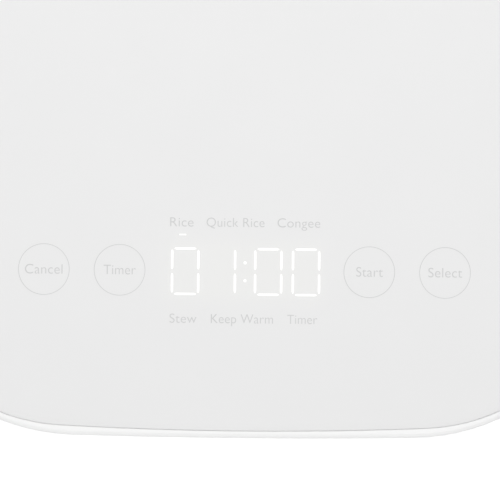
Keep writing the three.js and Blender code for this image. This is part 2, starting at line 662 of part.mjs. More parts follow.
function steamValveCap() {
  const top = HEIGHT;
  const low = PANEL_BOTTOM - 0.1;
  const r = VALVE.capR;
  const profile = [[0, low], [r - 0.6, low], [r, low + 0.6], [r, top - 0.8], [r - 0.8, top], [0, top]];
  const disc = turned(profile, [VALVE.x, VALVE.y], 28);
  const slots = [-2, -1, 0, 1, 2].map((k) => {
    const half = 11 - Math.abs(k) * 1.5;
    const y = VALVE.y + k * 5.4;
    return box([VALVE.x - half, VALVE.x + half], [y - 1.2, y + 1.2], [190, 210]);
  });
  return cut(disc, ...slots);
}

// ---------------------------------------------------------------- the assembly

const cooker = new THREE.Group();

function add(name, made, finish) {
  const mesh = new THREE.Mesh(geometryOf(made), finish);
  mesh.name = name;
  cooker.add(mesh);
}

add("body_shell", bodyShell(), WHITE_SATIN);
add("base_plate", basePlate(), GREY_PLASTIC);
for (const [place, x, y] of footPlaces) add("foot_" + place, foot(x, y), RUBBER);
screwPlaces.forEach(([x, y], k) => add("base_screw_" + (k + 1), baseScrew(x, y), STEEL));
add("deck_ring", deckRing(), GREY_PLASTIC);
add("hinge_cover", hingeCover(), WHITE_SATIN);
for (const [name, side] of [["left", -1], ["right", 1]]) {
  add("hinge_bracket_" + name, hingeBracket(side), STEEL);
  add("lid_spring_" + name, lidSpring(side), STEEL);
}
add("hinge_shaft", hingeShaft(), STEEL);

add("inner_pot", innerPot(), POT_COAT);
add("pot_liner", potLiner(), STEEL);
add("side_heater", sideHeater(), ALUMINIUM);
add("heating_plate", heatingPlate(), ALUMINIUM);
add("heater_element", heaterElement(), STEEL);
add("thermal_fuse", thermalFuse(), BRASS);
add("sensor_cap", sensorCap(), ALUMINIUM);
add("sensor_thermistor", sensorThermistor(), BRASS);
add("sensor_bracket", sensorBracket(), STEEL);
add("sensor_spring", sensorSpring(), STEEL);

add("power_board", powerBoard(), BOARD_GREEN);
add("power_transformer", powerTransformer(), BLACK_PLASTIC);
add("power_relay", powerRelay(), BLACK_PLASTIC);
add("filter_capacitor", filterCapacitor(), BLACK_PLASTIC);
add("power_inlet", powerInlet(), BLACK_PLASTIC);
for (const [name, x, z] of pinPlaces()) add("inlet_pin_" + name, inletPin(x, z), BRASS);
add("body_harness", bodyHarness(), WIRE);

add("release_button", releaseButton(), WHITE_SATIN);
add("latch_hook", latchHook(), GREY_PLASTIC);
add("latch_pin", latchPin(), STEEL);
add("latch_bracket", latchBracket(), STEEL);
add("latch_spring", latchSpring(), STEEL);

add("lid_shell", lidShell(), WHITE_SATIN);
add("lid_panel", lidPanel(), WHITE_MATTE);
add("lid_liner", lidLiner(), GREY_PLASTIC);
add("lid_striker", lidStriker(), STEEL);
add("control_board", controlBoard(), BOARD_GREEN);
add("led_display", ledDisplay(), WHITE_MATTE);
KEY_X.forEach((x, k) => add("touch_spring_" + (k + 1), touchSpring(x), STEEL));
add("lid_harness", lidHarness(), WIRE);
add("inner_lid", innerLid(), ALUMINIUM);
add("lid_gasket", lidGasket(), SILICONE);
add("steam_duct_seal", steamDuctSeal(), SILICONE);
add("inner_lid_clip", innerLidClip(), GREY_PLASTIC);
add("clip_spring", clipSpring(), STEEL);
add("steam_valve_cup", steamValveCup(), GREY_PLASTIC);
add("steam_valve_cap", steamValveCap(), WHITE_SATIN);

export default cooker;
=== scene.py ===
"""The looks of the rice cooker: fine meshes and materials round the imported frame. Sizes are in mm."""

import json
import math
import random

import bmesh
import bpy
from mathutils import Matrix, Vector


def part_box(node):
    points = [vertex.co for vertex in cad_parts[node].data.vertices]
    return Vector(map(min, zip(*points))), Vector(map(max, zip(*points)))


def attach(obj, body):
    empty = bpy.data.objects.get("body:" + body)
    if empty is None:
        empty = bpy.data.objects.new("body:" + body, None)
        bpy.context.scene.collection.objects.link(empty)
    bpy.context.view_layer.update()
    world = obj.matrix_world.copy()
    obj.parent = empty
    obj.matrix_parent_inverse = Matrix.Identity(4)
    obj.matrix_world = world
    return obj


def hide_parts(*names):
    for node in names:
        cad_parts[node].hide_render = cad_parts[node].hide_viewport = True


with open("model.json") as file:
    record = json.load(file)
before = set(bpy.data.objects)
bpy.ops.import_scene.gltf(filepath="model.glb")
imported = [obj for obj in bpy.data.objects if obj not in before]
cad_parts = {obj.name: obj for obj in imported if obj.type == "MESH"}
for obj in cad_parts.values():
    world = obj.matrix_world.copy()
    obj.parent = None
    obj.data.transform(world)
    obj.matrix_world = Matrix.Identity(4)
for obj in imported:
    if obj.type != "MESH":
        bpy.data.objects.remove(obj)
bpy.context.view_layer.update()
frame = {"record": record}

MM = 0.001
GAP = 0.3  # clearance between neighbouring pieces
WALL = 2.6  # moulded shells
SLOTS = {part["node"]: part["material_slot"] for part in frame["record"]["subparts"]}
MOVING = frame["record"]["behaviour"]["bodies"]
BODIES = {node: body for body, nodes in MOVING.items() for node in nodes}


def span(node):
    """The node's extent as (x0, x1), (y0, y1), (z0, z1) in millimetres."""
    low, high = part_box(node)
    return tuple((low[k] / MM, high[k] / MM) for k in range(3))


def middle(pair):
    return (pair[0] + pair[1]) / 2


def plan_middle(node):
    """The x and y of the node's middle."""
    x, y, _ = span(node)
    return middle(x), middle(y)


# ------ places, read from the frame

SHELL_X, SHELL_Y, SHELL_Z = span("body_shell")
LID_Z = span("lid_shell")[2]
PANEL_X, PANEL_Y, PANEL_Z = span("lid_panel")
DECK_Z = span("deck_ring")[2]
POT_YS, POT_Z = span("inner_pot")[1:]
POT_Y = middle(POT_YS)
SHAFT_Y, SHAFT_Z = (middle(pair) for pair in span("hinge_shaft")[1:])
COVER_Y = span("hinge_cover")[1][0]
DISPLAY_X, DISPLAY_Y, DISPLAY_Z = span("led_display")
KEY_Y = middle(DISPLAY_Y)
KEY_X = [middle(span(f"touch_spring_{k}")[0]) for k in (1, 2, 3, 4)]
VALVE_X, VALVE_Y = plan_middle("steam_valve_cap")
VALVE_CAP_R = (span("steam_valve_cap")[0][1] - span("steam_valve_cap")[0][0]) / 2
HALF_WIDTH = SHELL_X[1]
FRONT, REAR = SHELL_Y
PANEL_TOP = PANEL_Z[1]

# plan outlines: half width, front and rear, corner radius, and the radii of the slightly bowed sides
OUTER = {"half": HALF_WIDTH, "front": FRONT, "rear": REAR, "corner": 70, "front_r": 2670, "rear_r": 2670}
PANEL = {
    "half": PANEL_X[1],
    "front": PANEL_Y[0],
    "rear": REAR - 2.3,
    "corner": 64,
    "front_r": 1254,
    "rear_r": 2600,
}
SIDE_R = 4000
STEPS = {"end": 10, "corner": 22, "side": 8}
FAR = 400  # past every side of the cooker
OVER = (190, 210)  # heights from inside the lid to above it
UNDER = (0, 10)  # heights from below the feet to inside the base


# ------ mesh kit


def make(verts, faces):
    mesh = bpy.data.meshes.new("piece")
    mesh.from_pydata([Vector(v) * MM for v in verts], [], faces)
    mesh.validate()
    obj = bpy.data.objects.new("piece", mesh)
    bpy.context.scene.collection.objects.link(obj)
    return outward(obj)


def outward(obj):
    bm = bmesh.new()
    bm.from_mesh(obj.data)
    bmesh.ops.recalc_face_normals(bm, faces=bm.faces)
    bm.to_mesh(obj.data)
    bm.free()
    return obj


def merged(objs):
    """One object out of several closed ones."""
    bm = bmesh.new()
    for obj in objs:
        bm.from_mesh(obj.data)
    bm.to_mesh(objs[0].data)
    bm.free()
    for obj in objs[1:]:
        bpy.data.objects.remove(obj)
    return objs[0]


def boolean(obj, others, operation):
    other = merged(others)
    modifier = obj.modifiers.new("boolean", "BOOLEAN")
    modifier.operation = operation
    modifier.object = other
    modifier.solver = "EXACT"
    modifier.use_self = len(others) > 1
    apply_modifier(obj, modifier)
    bpy.data.objects.remove(other)
    return obj


def apply_modifier(obj, modifier):
    with bpy.context.temp_override(object=obj, active_object=obj, selected_objects=[obj]):
        bpy.ops.object.modifier_apply(modifier=modifier.name)


def cut(obj, *others):
    return boolean(obj, list(others), "DIFFERENCE")


def join(obj, *others):
    return boolean(obj, list(others), "UNION")


def keep(obj, other):
    return boolean(obj, [other], "INTERSECT")


def box(x, y, z):
    corners = [(a, b, c) for c in z for b in y for a in x]
    faces = [(0, 2, 3, 1), (4, 5, 7, 6), (0, 1, 5, 4), (2, 6, 7, 3), (0, 4, 6, 2), (1, 3, 7, 5)]
    return make(corners, faces)


def half_space(y, side):
    """Everything in front of y (side -1) or behind it (side +1)."""
    return box((-FAR, FAR), (-FAR, y) if side < 0 else (y, FAR), (-FAR, FAR))


def ring_faces(rings, count, closed):
    faces = []
    for i in range(rings if closed else rings - 1):
        for j in range(count):
            a, b = i * count, ((i + 1) % rings) * count
            faces.append((a + j, a + (j + 1) % count, b + (j + 1) % count, b + j))
    return faces


def stacked(rings, closed=False):
    """A solid through rings of points: capped at both ends, or closed on itself."""
    count = len(rings[0])
    faces = ring_faces(len(rings), count, closed)
    if not closed:
        last = (len(rings) - 1) * count
        faces += [tuple(range(count))[::-1], tuple(range(last, last + count))]
    return make([p for ring in rings for p in ring], faces)


def turned(profile, centre, segments=128):
    """A profile of (radius, z) turned about a vertical axis."""
    x, y = centre
    closed = profile[0][0] > 0
    verts, rows = [], []
    for r, z in profile:
        if r == 0:
            rows.append([len(verts)])
            verts.append((x, y, z))
            continue
        rows.append(list(range(len(verts), len(verts) + segments)))
        angles = [2 * math.pi * k / segments for k in range(segments)]
        verts += [(x + r * math.cos(a), y + r * math.sin(a), z) for a in angles]
    faces = []
    for i in range(len(rows) if closed else len(rows) - 1):
        low, high = rows[i], rows[(i + 1) % len(rows)]
        for j in range(segments):
            n = (j + 1) % segments
            if len(low) == 1:
                faces.append((low[0], high[n], high[j]))
            elif len(high) == 1:
                faces.append((low[j], low[n], high[0]))
            else:
                faces.append((low[j], low[n], high[n], high[j]))
    return make(verts, faces)


TUBE_END = [(0.0, 1.0), (0.35, 0.94), (0.8, 0.6)]  # how far past the end, and how wide there


def sweep(points, radius, sides):
    """A round tube along points, with rounded ends."""
    points = [Vector(p) for p in points]
    last = len(points) - 1
    angles = [2 * math.pi * j / sides for j in range(sides)]
    rings = []
    normal = None
    for k, p in enumerate(points):
        t = (points[min(k + 1, last)] - points[max(k - 1, 0)]).normalized()
        normal = normal or t.orthogonal().normalized()
        normal = (normal - t * normal.dot(t)).normalized()
        side = t.cross(normal)
        end = {0: -1, last: 1}.get(k, 0)
        rows = TUBE_END[::end] if end else TUBE_END[:1]
        for along, wide in rows:
            at = p + t * (along * radius * 0.5 * end)
            ring = [at + (normal * math.cos(a) + side * math.sin(a)) * radius * wide for a in angles]
            rings.append([tuple(q) for q in ring])
    return stacked(rings)


def smooth_path(points, count):
    """Catmull-Rom points through the given ones."""
    p = [Vector(q) for q in points]
    p = [2 * p[0] - p[1]] + p + [2 * p[-1] - p[-2]]
    made = []
    for i in range(1, len(p) - 2):
        for k in range(count):
            t = k / count
            a, b, c, d = p[i - 1], p[i], p[i + 1], p[i + 2]
            first = 2 * b + (c - a) * t + (2 * a - 5 * b + 4 * c - d) * t * t
            made.append((first + (3 * b - a - 3 * c + d) * t**3) * 0.5)
    return made + [p[-2]]


def coil(centre, axis, length, radius, turns, wire):
    points = []
    steps = round(turns * 28)
    for k in range(steps + 1):
        t = k / steps
        angle = 2 * math.pi * turns * t
        # the end turns lie nearly flat, as on a closed coil spring
        flat = min(1.0, 0.8 / turns)
        rise = max(0.0, min(1.0, (t - flat * 0.5) / (1 - flat)))
        w = length * (0.9 * rise + 0.1 * t)
        u, v = radius * math.cos(angle), radius * math.sin(angle)
        local = {"x": (w, u, v), "y": (v, w, u), "z": (u, v, w)}[axis]
        points.append(Vector(centre) + Vector(local))
    return sweep(points, wire, sides=10)


def rod(a, b, radius, sides=48):
    a, b = Vector(a), Vector(b)
    t = (b - a).normalized()
    n = t.orthogonal().normalized()
    m = t.cross(n)
    angles = [2 * math.pi * k / sides for k in range(sides)]
    rings = [[tuple(p + (n * math.cos(q) + m * math.sin(q)) * radius) for q in angles] for p in (a, b)]
    return stacked(rings)


def post(x, y, z, radius, sides=48):
    return rod((x, y, z[0]), (x, y, z[1]), radius, sides=sides)


def axle(x, y, z, radius):
    return rod((x[0], y, z), (x[1], y, z), radius)


def pill_outline(half, r, steps):
    """Points round a shape with round ends, as (along, across)."""
    points = []
    for side in (1, -1):
        for k in range(steps + 1):
            angle = side * (-math.pi / 2) + math.pi * k / steps
            points.append((side * (half - r) + r * math.cos(angle), r * math.sin(angle)))
    return points


def pill(half_length, half_height, z, y):
    """A block with round ends that faces the front, long in X."""
    points = pill_outline(half_length, half_height, 18)
    return stacked([[(px, at, z + pz) for px, pz in points] for at in y])


def slot(x, y, half, r, z, upright=False):
    """A cutter with round ends, long in X, or in Y where it is upright in plan."""
    points = pill_outline(half, r, 10)
    if upright:
        points = [(-across, along) for along, across in points]
    return stacked([[(x + px, y + py, at) for px, py in points] for at in z])


def extruded_yz(points, x):
    return stacked([[(at, py, pz) for py, pz in points] for at in x])


# ------ the plan outline


def nested(c1, r1, c2, r2, r, near):
    """The centre of a circle of radius r that touches two larger circles from inside, near a point."""
    d1, d2 = r1 - r, r2 - r
    gap = c2 - c1
    d = gap.length
    along = (d1 * d1 - d2 * d2 + d * d) / (2 * d)
    across = math.sqrt(max(d1 * d1 - along * along, 0))
    unit = gap.normalized()
    foot = c1 + unit * along
    normal = Vector((-unit.y, unit.x))
    return min((foot + normal * across, foot - normal * across), key=lambda p: (p - near).length)


def arc(centre, radius, start, end, count):
    angles = [start + (end - start) * k / count for k in range(count + 1)]
    return [(centre.x + radius * math.cos(a), centre.y + radius * math.sin(a)) for a in angles]


def outline(plan, inset=0.0):
    """Points of the plan outline, anticlockwise from the front's middle, inset inside it."""
    half, front, rear, c = (plan[key] for key in ("half", "front", "rear", "corner"))
    front_r, rear_r = plan["front_r"], plan["rear_r"]
    front_c = Vector((0, front + front_r))
    rear_c = Vector((0, rear - rear_r))
    side_c = Vector((half - SIDE_R, (front + rear) / 2))
    low = nested(front_c, front_r, side_c, SIDE_R, c, Vector((half, front)))
    high = nested(rear_c, rear_r, side_c, SIDE_R, c, Vector((half, rear)))

    def angle(a, b):
        return math.atan2(b.y - a.y, b.x - a.x)

    stretches = [
        arc(front_c, front_r - inset, -math.pi / 2, angle(front_c, low), STEPS["end"]),
        arc(low, c - inset, angle(front_c, low), angle(side_c, low), STEPS["corner"]),
        arc(side_c, SIDE_R - inset, angle(side_c, low), angle(side_c, high), STEPS["side"]),
        arc(high, c - inset, angle(side_c, high), angle(rear_c, high), STEPS["corner"]),
        arc(rear_c, rear_r - inset, angle(rear_c, high), math.pi / 2, STEPS["end"]),
    ]
    right = stretches[0] + [p for stretch in stretches[1:] for p in stretch[1:]]
    return right + [(-x, y) for x, y in reversed(right[1:-1])]


def loft(plan, sections, closed=False):
    rings = [[(x, y, z) for x, y in outline(plan, inset)] for z, inset in sections]
    return stacked(rings, closed)


def quarter(z, inset, high, wide, up, count=6):
    """Sections of a rounded edge that closes inwards at z, going up (+1) or starting there (-1)."""
    steps = []
    for k in range(count + 1):
        angle = math.pi / 2 * k / count
        steps.append((z - up * high * (1 - math.sin(angle)), inset + wide * (1 - math.cos(angle))))
    return steps if up > 0 else steps[::-1]


# ------ finishing a piece


SHARP = math.radians(32)  # edges that turn more than this stay crisp


def refine(obj, bevel, segments):
    """Rounds the sharp edges a little and shades the rest smoothly."""
    if bevel:
        modifier = obj.modifiers.new("bevel", "BEVEL")
        modifier.width = bevel * MM
        modifier.segments = segments
        modifier.limit_method = "ANGLE"
        modifier.angle_limit = math.radians(40)
        modifier.miter_outer = "MITER_ARC"
        apply_modifier(obj, modifier)
    bm = bmesh.new()
    bm.from_mesh(obj.data)
    bmesh.ops.remove_doubles(bm, verts=bm.verts, dist=1e-6)
    for face in bm.faces:
        face.smooth = True
    for edge in bm.edges:
        if len(edge.link_faces) == 2:
            edge.smooth = edge.calc_face_angle(0) < SHARP
    bm.to_mesh(obj.data)
    bm.free()
    weighted = obj.modifiers.new("flat faces stay flat", "WEIGHTED_NORMAL")
    weighted.keep_sharp = True
    weighted.weight = 60


def dress(obj, material):
    obj.data.materials.clear()
    obj.data.materials.append(material)


def show(obj, node, bevel, segments=3, look=None):
    """obj stands for a CAD node: it takes the node's body and slot, and the slot's look or a named one."""
    obj.name = node + "_fine"
    refine(obj, bevel, segments)
    dress(obj, MAT[look or SLOTS[node]])
    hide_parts(node)
    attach(obj, BODIES[node])


def extra(obj, name, body, slot, bevel=0):
    """A detail that no CAD node holds."""
    obj.name = name
    refine(obj, bevel, segments=3)
    dress(obj, MAT[slot])
    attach(obj, body)


# ------ materials


class Finish:
    """A material being built: a Principled shader and the nodes before it, in object space."""

    def __init__(self, name, color, roughness, metallic=0.0):
        self.material = bpy.data.materials.new(name)
        self.material.use_nodes = True
        self.nodes = self.material.node_tree.nodes
        self.links = self.material.node_tree.links
        self.shader = self.nodes["Principled BSDF"]
        self.shader.inputs["Base Color"].default_value = (*color, 1)
        self.shader.inputs["Roughness"].default_value = roughness
        self.shader.inputs["Metallic"].default_value = metallic
        self.where = self.nodes.new("ShaderNodeTexCoord").outputs["Object"]

    def set(self, socket, value):
        self.shader.inputs[socket].default_value = value
        return self

    def link(self, output, node, socket):
        self.links.new(output, node.inputs[socket])

    def fed(self, kind, source, socket, values=()):
        """A new node with source linked to one socket and constants in others."""
        node = self.nodes.new(kind)
        for name, value in dict(values).items():
            node.inputs[name].default_value = value
        self.link(source, node, socket)
        return node

    def stretched(self, scale):
        return self.fed("ShaderNodeMapping", self.where, "Vector", {"Scale": scale}).outputs["Vector"]

    def noise(self, size_mm, detail, vector=None):
        values = {"Scale": 1000 / size_mm, "Detail": detail}
        return self.fed("ShaderNodeTexNoise", vector or self.where, "Vector", values).outputs["Fac"]

    def cells(self, size_mm):
        values = {"Scale": 1000 / size_mm}
        return self.fed("ShaderNodeTexVoronoi", self.where, "Vector", values).outputs["Distance"]

    def ramp(self, value, stops):
        node = self.nodes.new("ShaderNodeValToRGB")
        for element, (at, color) in zip(node.color_ramp.elements, stops):
            element.position = at
            element.color = (*color, 1)
        self.link(value, node, "Fac")
        return node.outputs["Color"]

    def between(self, value, low, high):
        values = {"To Min": low, "To Max": high}
        return self.fed("ShaderNodeMapRange", value, "Value", values).outputs["Result"]

    def math(self, operation, a, b=0.0):
        node = self.nodes.new("ShaderNodeMath")
        node.operation = operation
        for k, value in enumerate((a, b)):
            if isinstance(value, (int, float)):
                node.inputs[k].default_value = value
            else:
                self.links.new(value, node.inputs[k])
        return node.outputs["Value"]

    def xyz(self):
        node = self.fed("ShaderNodeSeparateXYZ", self.where, "Vector")
        return [node.outputs[k] for k in range(3)]

    def color(self, output):
        self.link(output, self.shader, "Base Color")

    def rough(self, value, low, high):
        self.link(self.between(value, low, high), self.shader, "Roughness")

    def bump(self, value, depth_mm):
        values = {"Distance": depth_mm * MM, "Strength": 1}
        node = self.fed("ShaderNodeBump", value, "Height", values)
        self.link(node.outputs["Normal"], self.shader, "Normal")


def shade(level, tint=(1, 1, 1)):
    return tuple(level * t for t in tint)


def moulded(name, level, roughness, grain_mm, grain_depth, tint=(1, 1, 1), spread=0.02, uneven=0.05):
    """Moulded plastic: a fine tool texture, faint mottling and uneven gloss."""
    made = Finish(name, shade(level, tint), roughness)
    dark, light = shade(level * (1 - spread), tint), shade(level * (1 + spread), tint)
    made.color(made.ramp(made.noise(22, 3), [(0.3, dark), (0.7, light)]))
    made.rough(made.noise(6, 3), roughness - uneven, roughness + uneven)
    made.bump(made.noise(grain_mm, 2), grain_depth)
    return made


def make_materials():
    made = {}
    made["body_white"] = moulded("satin white plastic", 0.86, 0.30, 24, 0.02, (1, 1, 0.998), 0.004, 0.02)
    made["panel_white"] = panel_finish()
    made["grey_plastic"] = moulded("light grey plastic", 0.52, 0.42, 0.5, 0.006, (1, 1, 0.99))
    made["black_plastic"] = moulded("black plastic", 0.018, 0.45, 0.45, 0.02, (1, 1, 1.05), 0.1)
    made["rubber"] = moulded("foot rubber", 0.03, 0.78, 0.7, 0.03, (1, 1, 1), 0.2)
    made["silicone"] = moulded("white silicone", 0.66, 0.42, 0.9, 0.008, (1, 1, 0.96), 0.03)
    made["silicone"].set("Subsurface Weight", 0.35).set("Subsurface Scale", 2 * MM)
    made["steel"] = brushed("brushed steel", (0.56, 0.57, 0.58), 0.28, (60, 1400, 1400))
    made["bright_steel"] = brushed("bright steel", (0.66, 0.66, 0.66), 0.18, (500, 500, 60))
    made["aluminium"] = spun("spun aluminium", (0.74, 0.75, 0.76), 0.3)
    made["pot_coat"] = pot_finish()
    made["board_green"] = board_finish()
    made["brass"] = brushed("plated brass", (0.78, 0.60, 0.28), 0.25, (700, 700, 90))
    made["wire"] = braid_finish()
    made["print_grey"] = moulded("grey print", 0.62, 0.6, 0.3, 0.001, (1, 1, 1), 0.02)
    made["display_light"] = light_finish()
    return {slot: finish.material for slot, finish in made.items()}


GLOW_HALF = (22, 6)  # the display's light shows evenly this far from its middle, and then fades
GLOW_FADE = 5


def panel_finish():
    """The matte top: a very fine grain, and the display's light showing faintly through it."""
    made = Finish("matte white panel", shade(0.80), 0.55)
    made.color(made.ramp(made.noise(30, 2), [(0.3, shade(0.797)), (0.7, shade(0.803))]))
    made.rough(made.noise(4, 2), 0.5, 0.6)
    made.bump(made.noise(0.45, 3), 0.004)
    x, y, _ = made.xyz()
    squares = []
    for place, half in ((x, GLOW_HALF[0]), (made.math("SUBTRACT", y, KEY_Y * MM), GLOW_HALF[1])):
        past = made.math("SUBTRACT", made.math("ABSOLUTE", place), half * MM)
        past = made.math("MAXIMUM", past, 0)
        squares.append(made.math("MULTIPLY", past, past))
    squared = made.math("ADD", *squares)
    fade = made.math("EXPONENT", made.math("MULTIPLY", squared, -1 / (GLOW_FADE * MM) ** 2))
    made.link(made.math("MULTIPLY", fade, 0.018), made.shader, "Emission Strength")
    made.set("Emission Color", (1, 1, 0.5, 1))
    return made


def light_finish():
    """A lit segment: an even white light with a hint of grain."""
    made = Finish("lit segment", shade(0.35), 0.5)
    made.set("Emission Color", (1, 1, 0.98, 1))
    made.link(made.between(made.noise(1.5, 2), 0.68, 0.80), made.shader, "Emission Strength")
    return made


def brushed(name, color, roughness, scale):
    made = Finish(name, color, roughness, 1.0)
    lines = made.noise(1000, 3, made.stretched(scale))
    made.rough(lines, roughness - 0.08, roughness + 0.14)
    dark = tuple(c * 0.86 for c in color)
    made.color(made.ramp(lines, [(0.3, dark), (0.7, color)]))
    made.bump(lines, 0.004)
    return made


def spun(name, color, roughness):
    """Metal turned about the pot's axis: fine rings."""
    made = Finish(name, color, roughness, 1.0)
    x, y, _ = made.xyz()
    y = made.math("SUBTRACT", y, POT_Y * MM)
    radius = made.math("SQRT", made.math("ADD", made.math("MULTIPLY", x, x), made.math("MULTIPLY", y, y)))
    rings = made.noise(0.7, 3, made.fed("ShaderNodeCombineXYZ", radius, "X").outputs["Vector"])
    made.rough(rings, roughness - 0.1, roughness + 0.12)
    made.color(made.ramp(rings, [(0.3, tuple(c * 0.9 for c in color)), (0.7, color)]))
    made.bump(rings, 0.006)
    return made


def pot_finish():
    """Dark non-stick coating with fine pale speckles."""
    made = Finish("speckled non-stick coat", shade(0.03), 0.36)
    specks = made.ramp(made.cells(1.1), [(0.10, (0.24, 0.235, 0.225)), (0.2, (0.03, 0.03, 0.031))])
    made.color(specks)
    made.rough(made.noise(3, 3), 0.28, 0.42)
    made.bump(made.noise(0.8, 2), 0.01)
    made.set("Coat Weight", 0.25).set("Coat Roughness", 0.2)
    return made


def board_finish():
    """Circuit board: green lacquer over paler copper areas."""
    made = Finish("circuit board lacquer", (0.01, 0.12, 0.05), 0.3)
    areas = made.ramp(made.cells(6), [(0.35, (0.008, 0.1, 0.04)), (0.4, (0.02, 0.17, 0.07))])
    made.color(areas)
    made.bump(made.cells(6), 0.05)
    made.rough(made.noise(2, 2), 0.25, 0.4)
    return made


def braid_finish():
    """Sleeving woven round a wire bundle."""
    made = Finish("woven sleeving", (0.7, 0.7, 0.67), 0.7)
    values = {"Scale": 1000 / 1.4, "Distortion": 2}
    weave = made.fed("ShaderNodeTexWave", made.where, "Vector", values).outputs["Fac"]
    made.color(made.ramp(weave, [(0.2, (0.5, 0.5, 0.48)), (0.8, (0.78, 0.78, 0.75))]))
    made.bump(weave, 0.08)
    return made


MAT = make_materials()

# ------ the lid


LIP = 0.27  # groove between the panel and the rim round it
SEAM = 0.06  # gap between them below the groove
RIM_TOP = PANEL_TOP - 0.15
EDGE_DROP, EDGE_WIDE = 0.42, 2.6  # the panel's soft edge
PANEL_REAR = 107.5
EAR_X, EAR_HALF = 90.7, 2.5  # the hinge brackets' ears
BARREL_R, SHAFT_R, BORE_R, SPRING_BORE_R = 5.0, 2, 2.35, 4.1
BARREL_HALF = 113
CEILING = (168, 170)  # the roof of the recess that holds the inner lid
RECESS_R, RECESS_WALL = 113.5, 2
WELL_R, WELL_WALL = 24.5, 1.5  # the well round the steam valve
STEAM_HOLE_R = 8.2
BOARD_X, BOARD_Y = (-80, 80), (-122, -76)  # the control board's four screw places
CLIP_SLOT = (-141.6, -131)
RIM_BOTTOM = 157.5


def ear_notches():
    half = EAR_HALF + 0.7
    return [box((x - half, x + half), (106.3, 125), (150, 210)) for x in (-EAR_X, EAR_X)]


def lid_shell():
    bottom, shelf = LID_Z[0], PANEL_Z[0] - GAP
    crest = quarter(RIM_TOP, 0, 1.5, 1.4, 1, 12)
    crest += [(RIM_TOP - 0.03, 1.75), (RIM_TOP - 0.09, 2.2), (RIM_TOP - 0.15, 2.7)]
    outside = loft(OUTER, [(bottom, 0.5), (bottom + 0.5, 0)] + crest)
    outside = keep(outside, half_space(SHAFT_Y, -1))
    inside = keep(loft(OUTER, [(150, WALL), (shelf - 2.5, WALL)]), half_space(SHAFT_Y - 2.5, -1))
    shell = join(cut(outside, inside), axle((-BARREL_HALF, BARREL_HALF), SHAFT_Y, SHAFT_Z, BARREL_R))
    step = PANEL_TOP - EDGE_DROP - 0.1
    recess = loft(PANEL, [(shelf, -SEAM), (step, -SEAM), (step + 0.12, -LIP), (OVER[1], -LIP)])
    recess = keep(recess, half_space(PANEL_REAR + 0.5, -1))
    window = keep(loft(OUTER, [(z, 10) for z in OVER]), half_space(101, -1))
    shell = cut(shell, recess)
    shell = cut(shell, window)
    shell = cut(shell, axle((-130, 130), SHAFT_Y, SHAFT_Z, BORE_R))
    pockets = [axle(x, SHAFT_Y, SHAFT_Z, SPRING_BORE_R) for x in ((66, 88), (-88, -66))]
    shell = cut(shell, *pockets, *ear_notches())
    show(shell, "lid_shell", bevel=0.22)


def lid_panel():
    low, top = PANEL_Z
    fillet = [(top - drop, inset) for drop, inset in fillet_curve(EDGE_DROP, EDGE_WIDE, 12)]
    plate = loft(PANEL, [(low, 0), (top - EDGE_DROP - 0.1, 0)] + fillet)
    plate = keep(plate, half_space(PANEL_REAR, -1))
    plate = cut(plate, post(VALVE_X, VALVE_Y, OVER, VALVE_CAP_R + 0.5, 96))
    show(plate, "lid_panel", bevel=0.12, segments=2)


def fillet_curve(high, wide, count):
    """A soft edge: steep at the outside, fading into the flat top."""
    made = []
    for k in range(count + 1):
        t = k / count
        made.append((high * (1 - t) ** 2.2, wide * t**1.15))
    return made


def lid_liner():
    low, (ceiling, roof) = RIM_BOTTOM, CEILING
    outer_r = RECESS_R + RECESS_WALL
    rim = keep(loft(OUTER, [(low, WALL + GAP), (160, WALL + GAP)]), half_space(SHAFT_Y - 2.8, -1))
    drum = turned([(0, low), (outer_r, low), (outer_r, roof), (0, roof)], (0, POT_Y))
    hollow = [(0, 150), (RECESS_R, 150), (RECESS_R, ceiling - 1.5), (RECESS_R - 1.5, ceiling), (0, ceiling)]
    liner = cut(join(rim, drum), turned(hollow, (0, POT_Y)))
    well = post(VALVE_X, VALVE_Y, (ceiling, PANEL_Z[0] - 0.4), WELL_R + WELL_WALL, 96)
    stands = [post(x, y, (foot, 191.7), 3) for y, foot in zip(BOARD_Y, (159, 169)) for x in BOARD_X]
    liner = join(liner, well, *stands)
    liner = join(liner, box((-6, 6), (-145.8, -144), (159, 166)))
    steam_hole = post(VALVE_X, VALVE_Y, (160, roof - 0.1), STEAM_HOLE_R)
    liner = cut(liner, post(VALVE_X, VALVE_Y, (roof, OVER[1]), WELL_R, 96), steam_hole)
    well_hole = post(VALVE_X, VALVE_Y, (roof - 1, roof + 1), STEAM_HOLE_R)
    liner = cut(liner, box((-12.5, 12.5), CLIP_SLOT, (150, 167)), well_hole)
    liner = cut(liner, *ear_notches())
    show(liner, "lid_liner", bevel=0.25)


def lid_striker():
    (x0, x1), (y0, y1), (z0, z1) = span("lid_striker")
    plate = cut(box((x0, x1), (-147.6, -146.1), (z0, z1)), box((-6.8, 6.8), (-150, -140), (150.6, 156.2)))
    plate = join(plate, box((x0, x1), (y0, y1), (156.1, z1)))
    show(plate, "lid_striker", bevel=0.3)


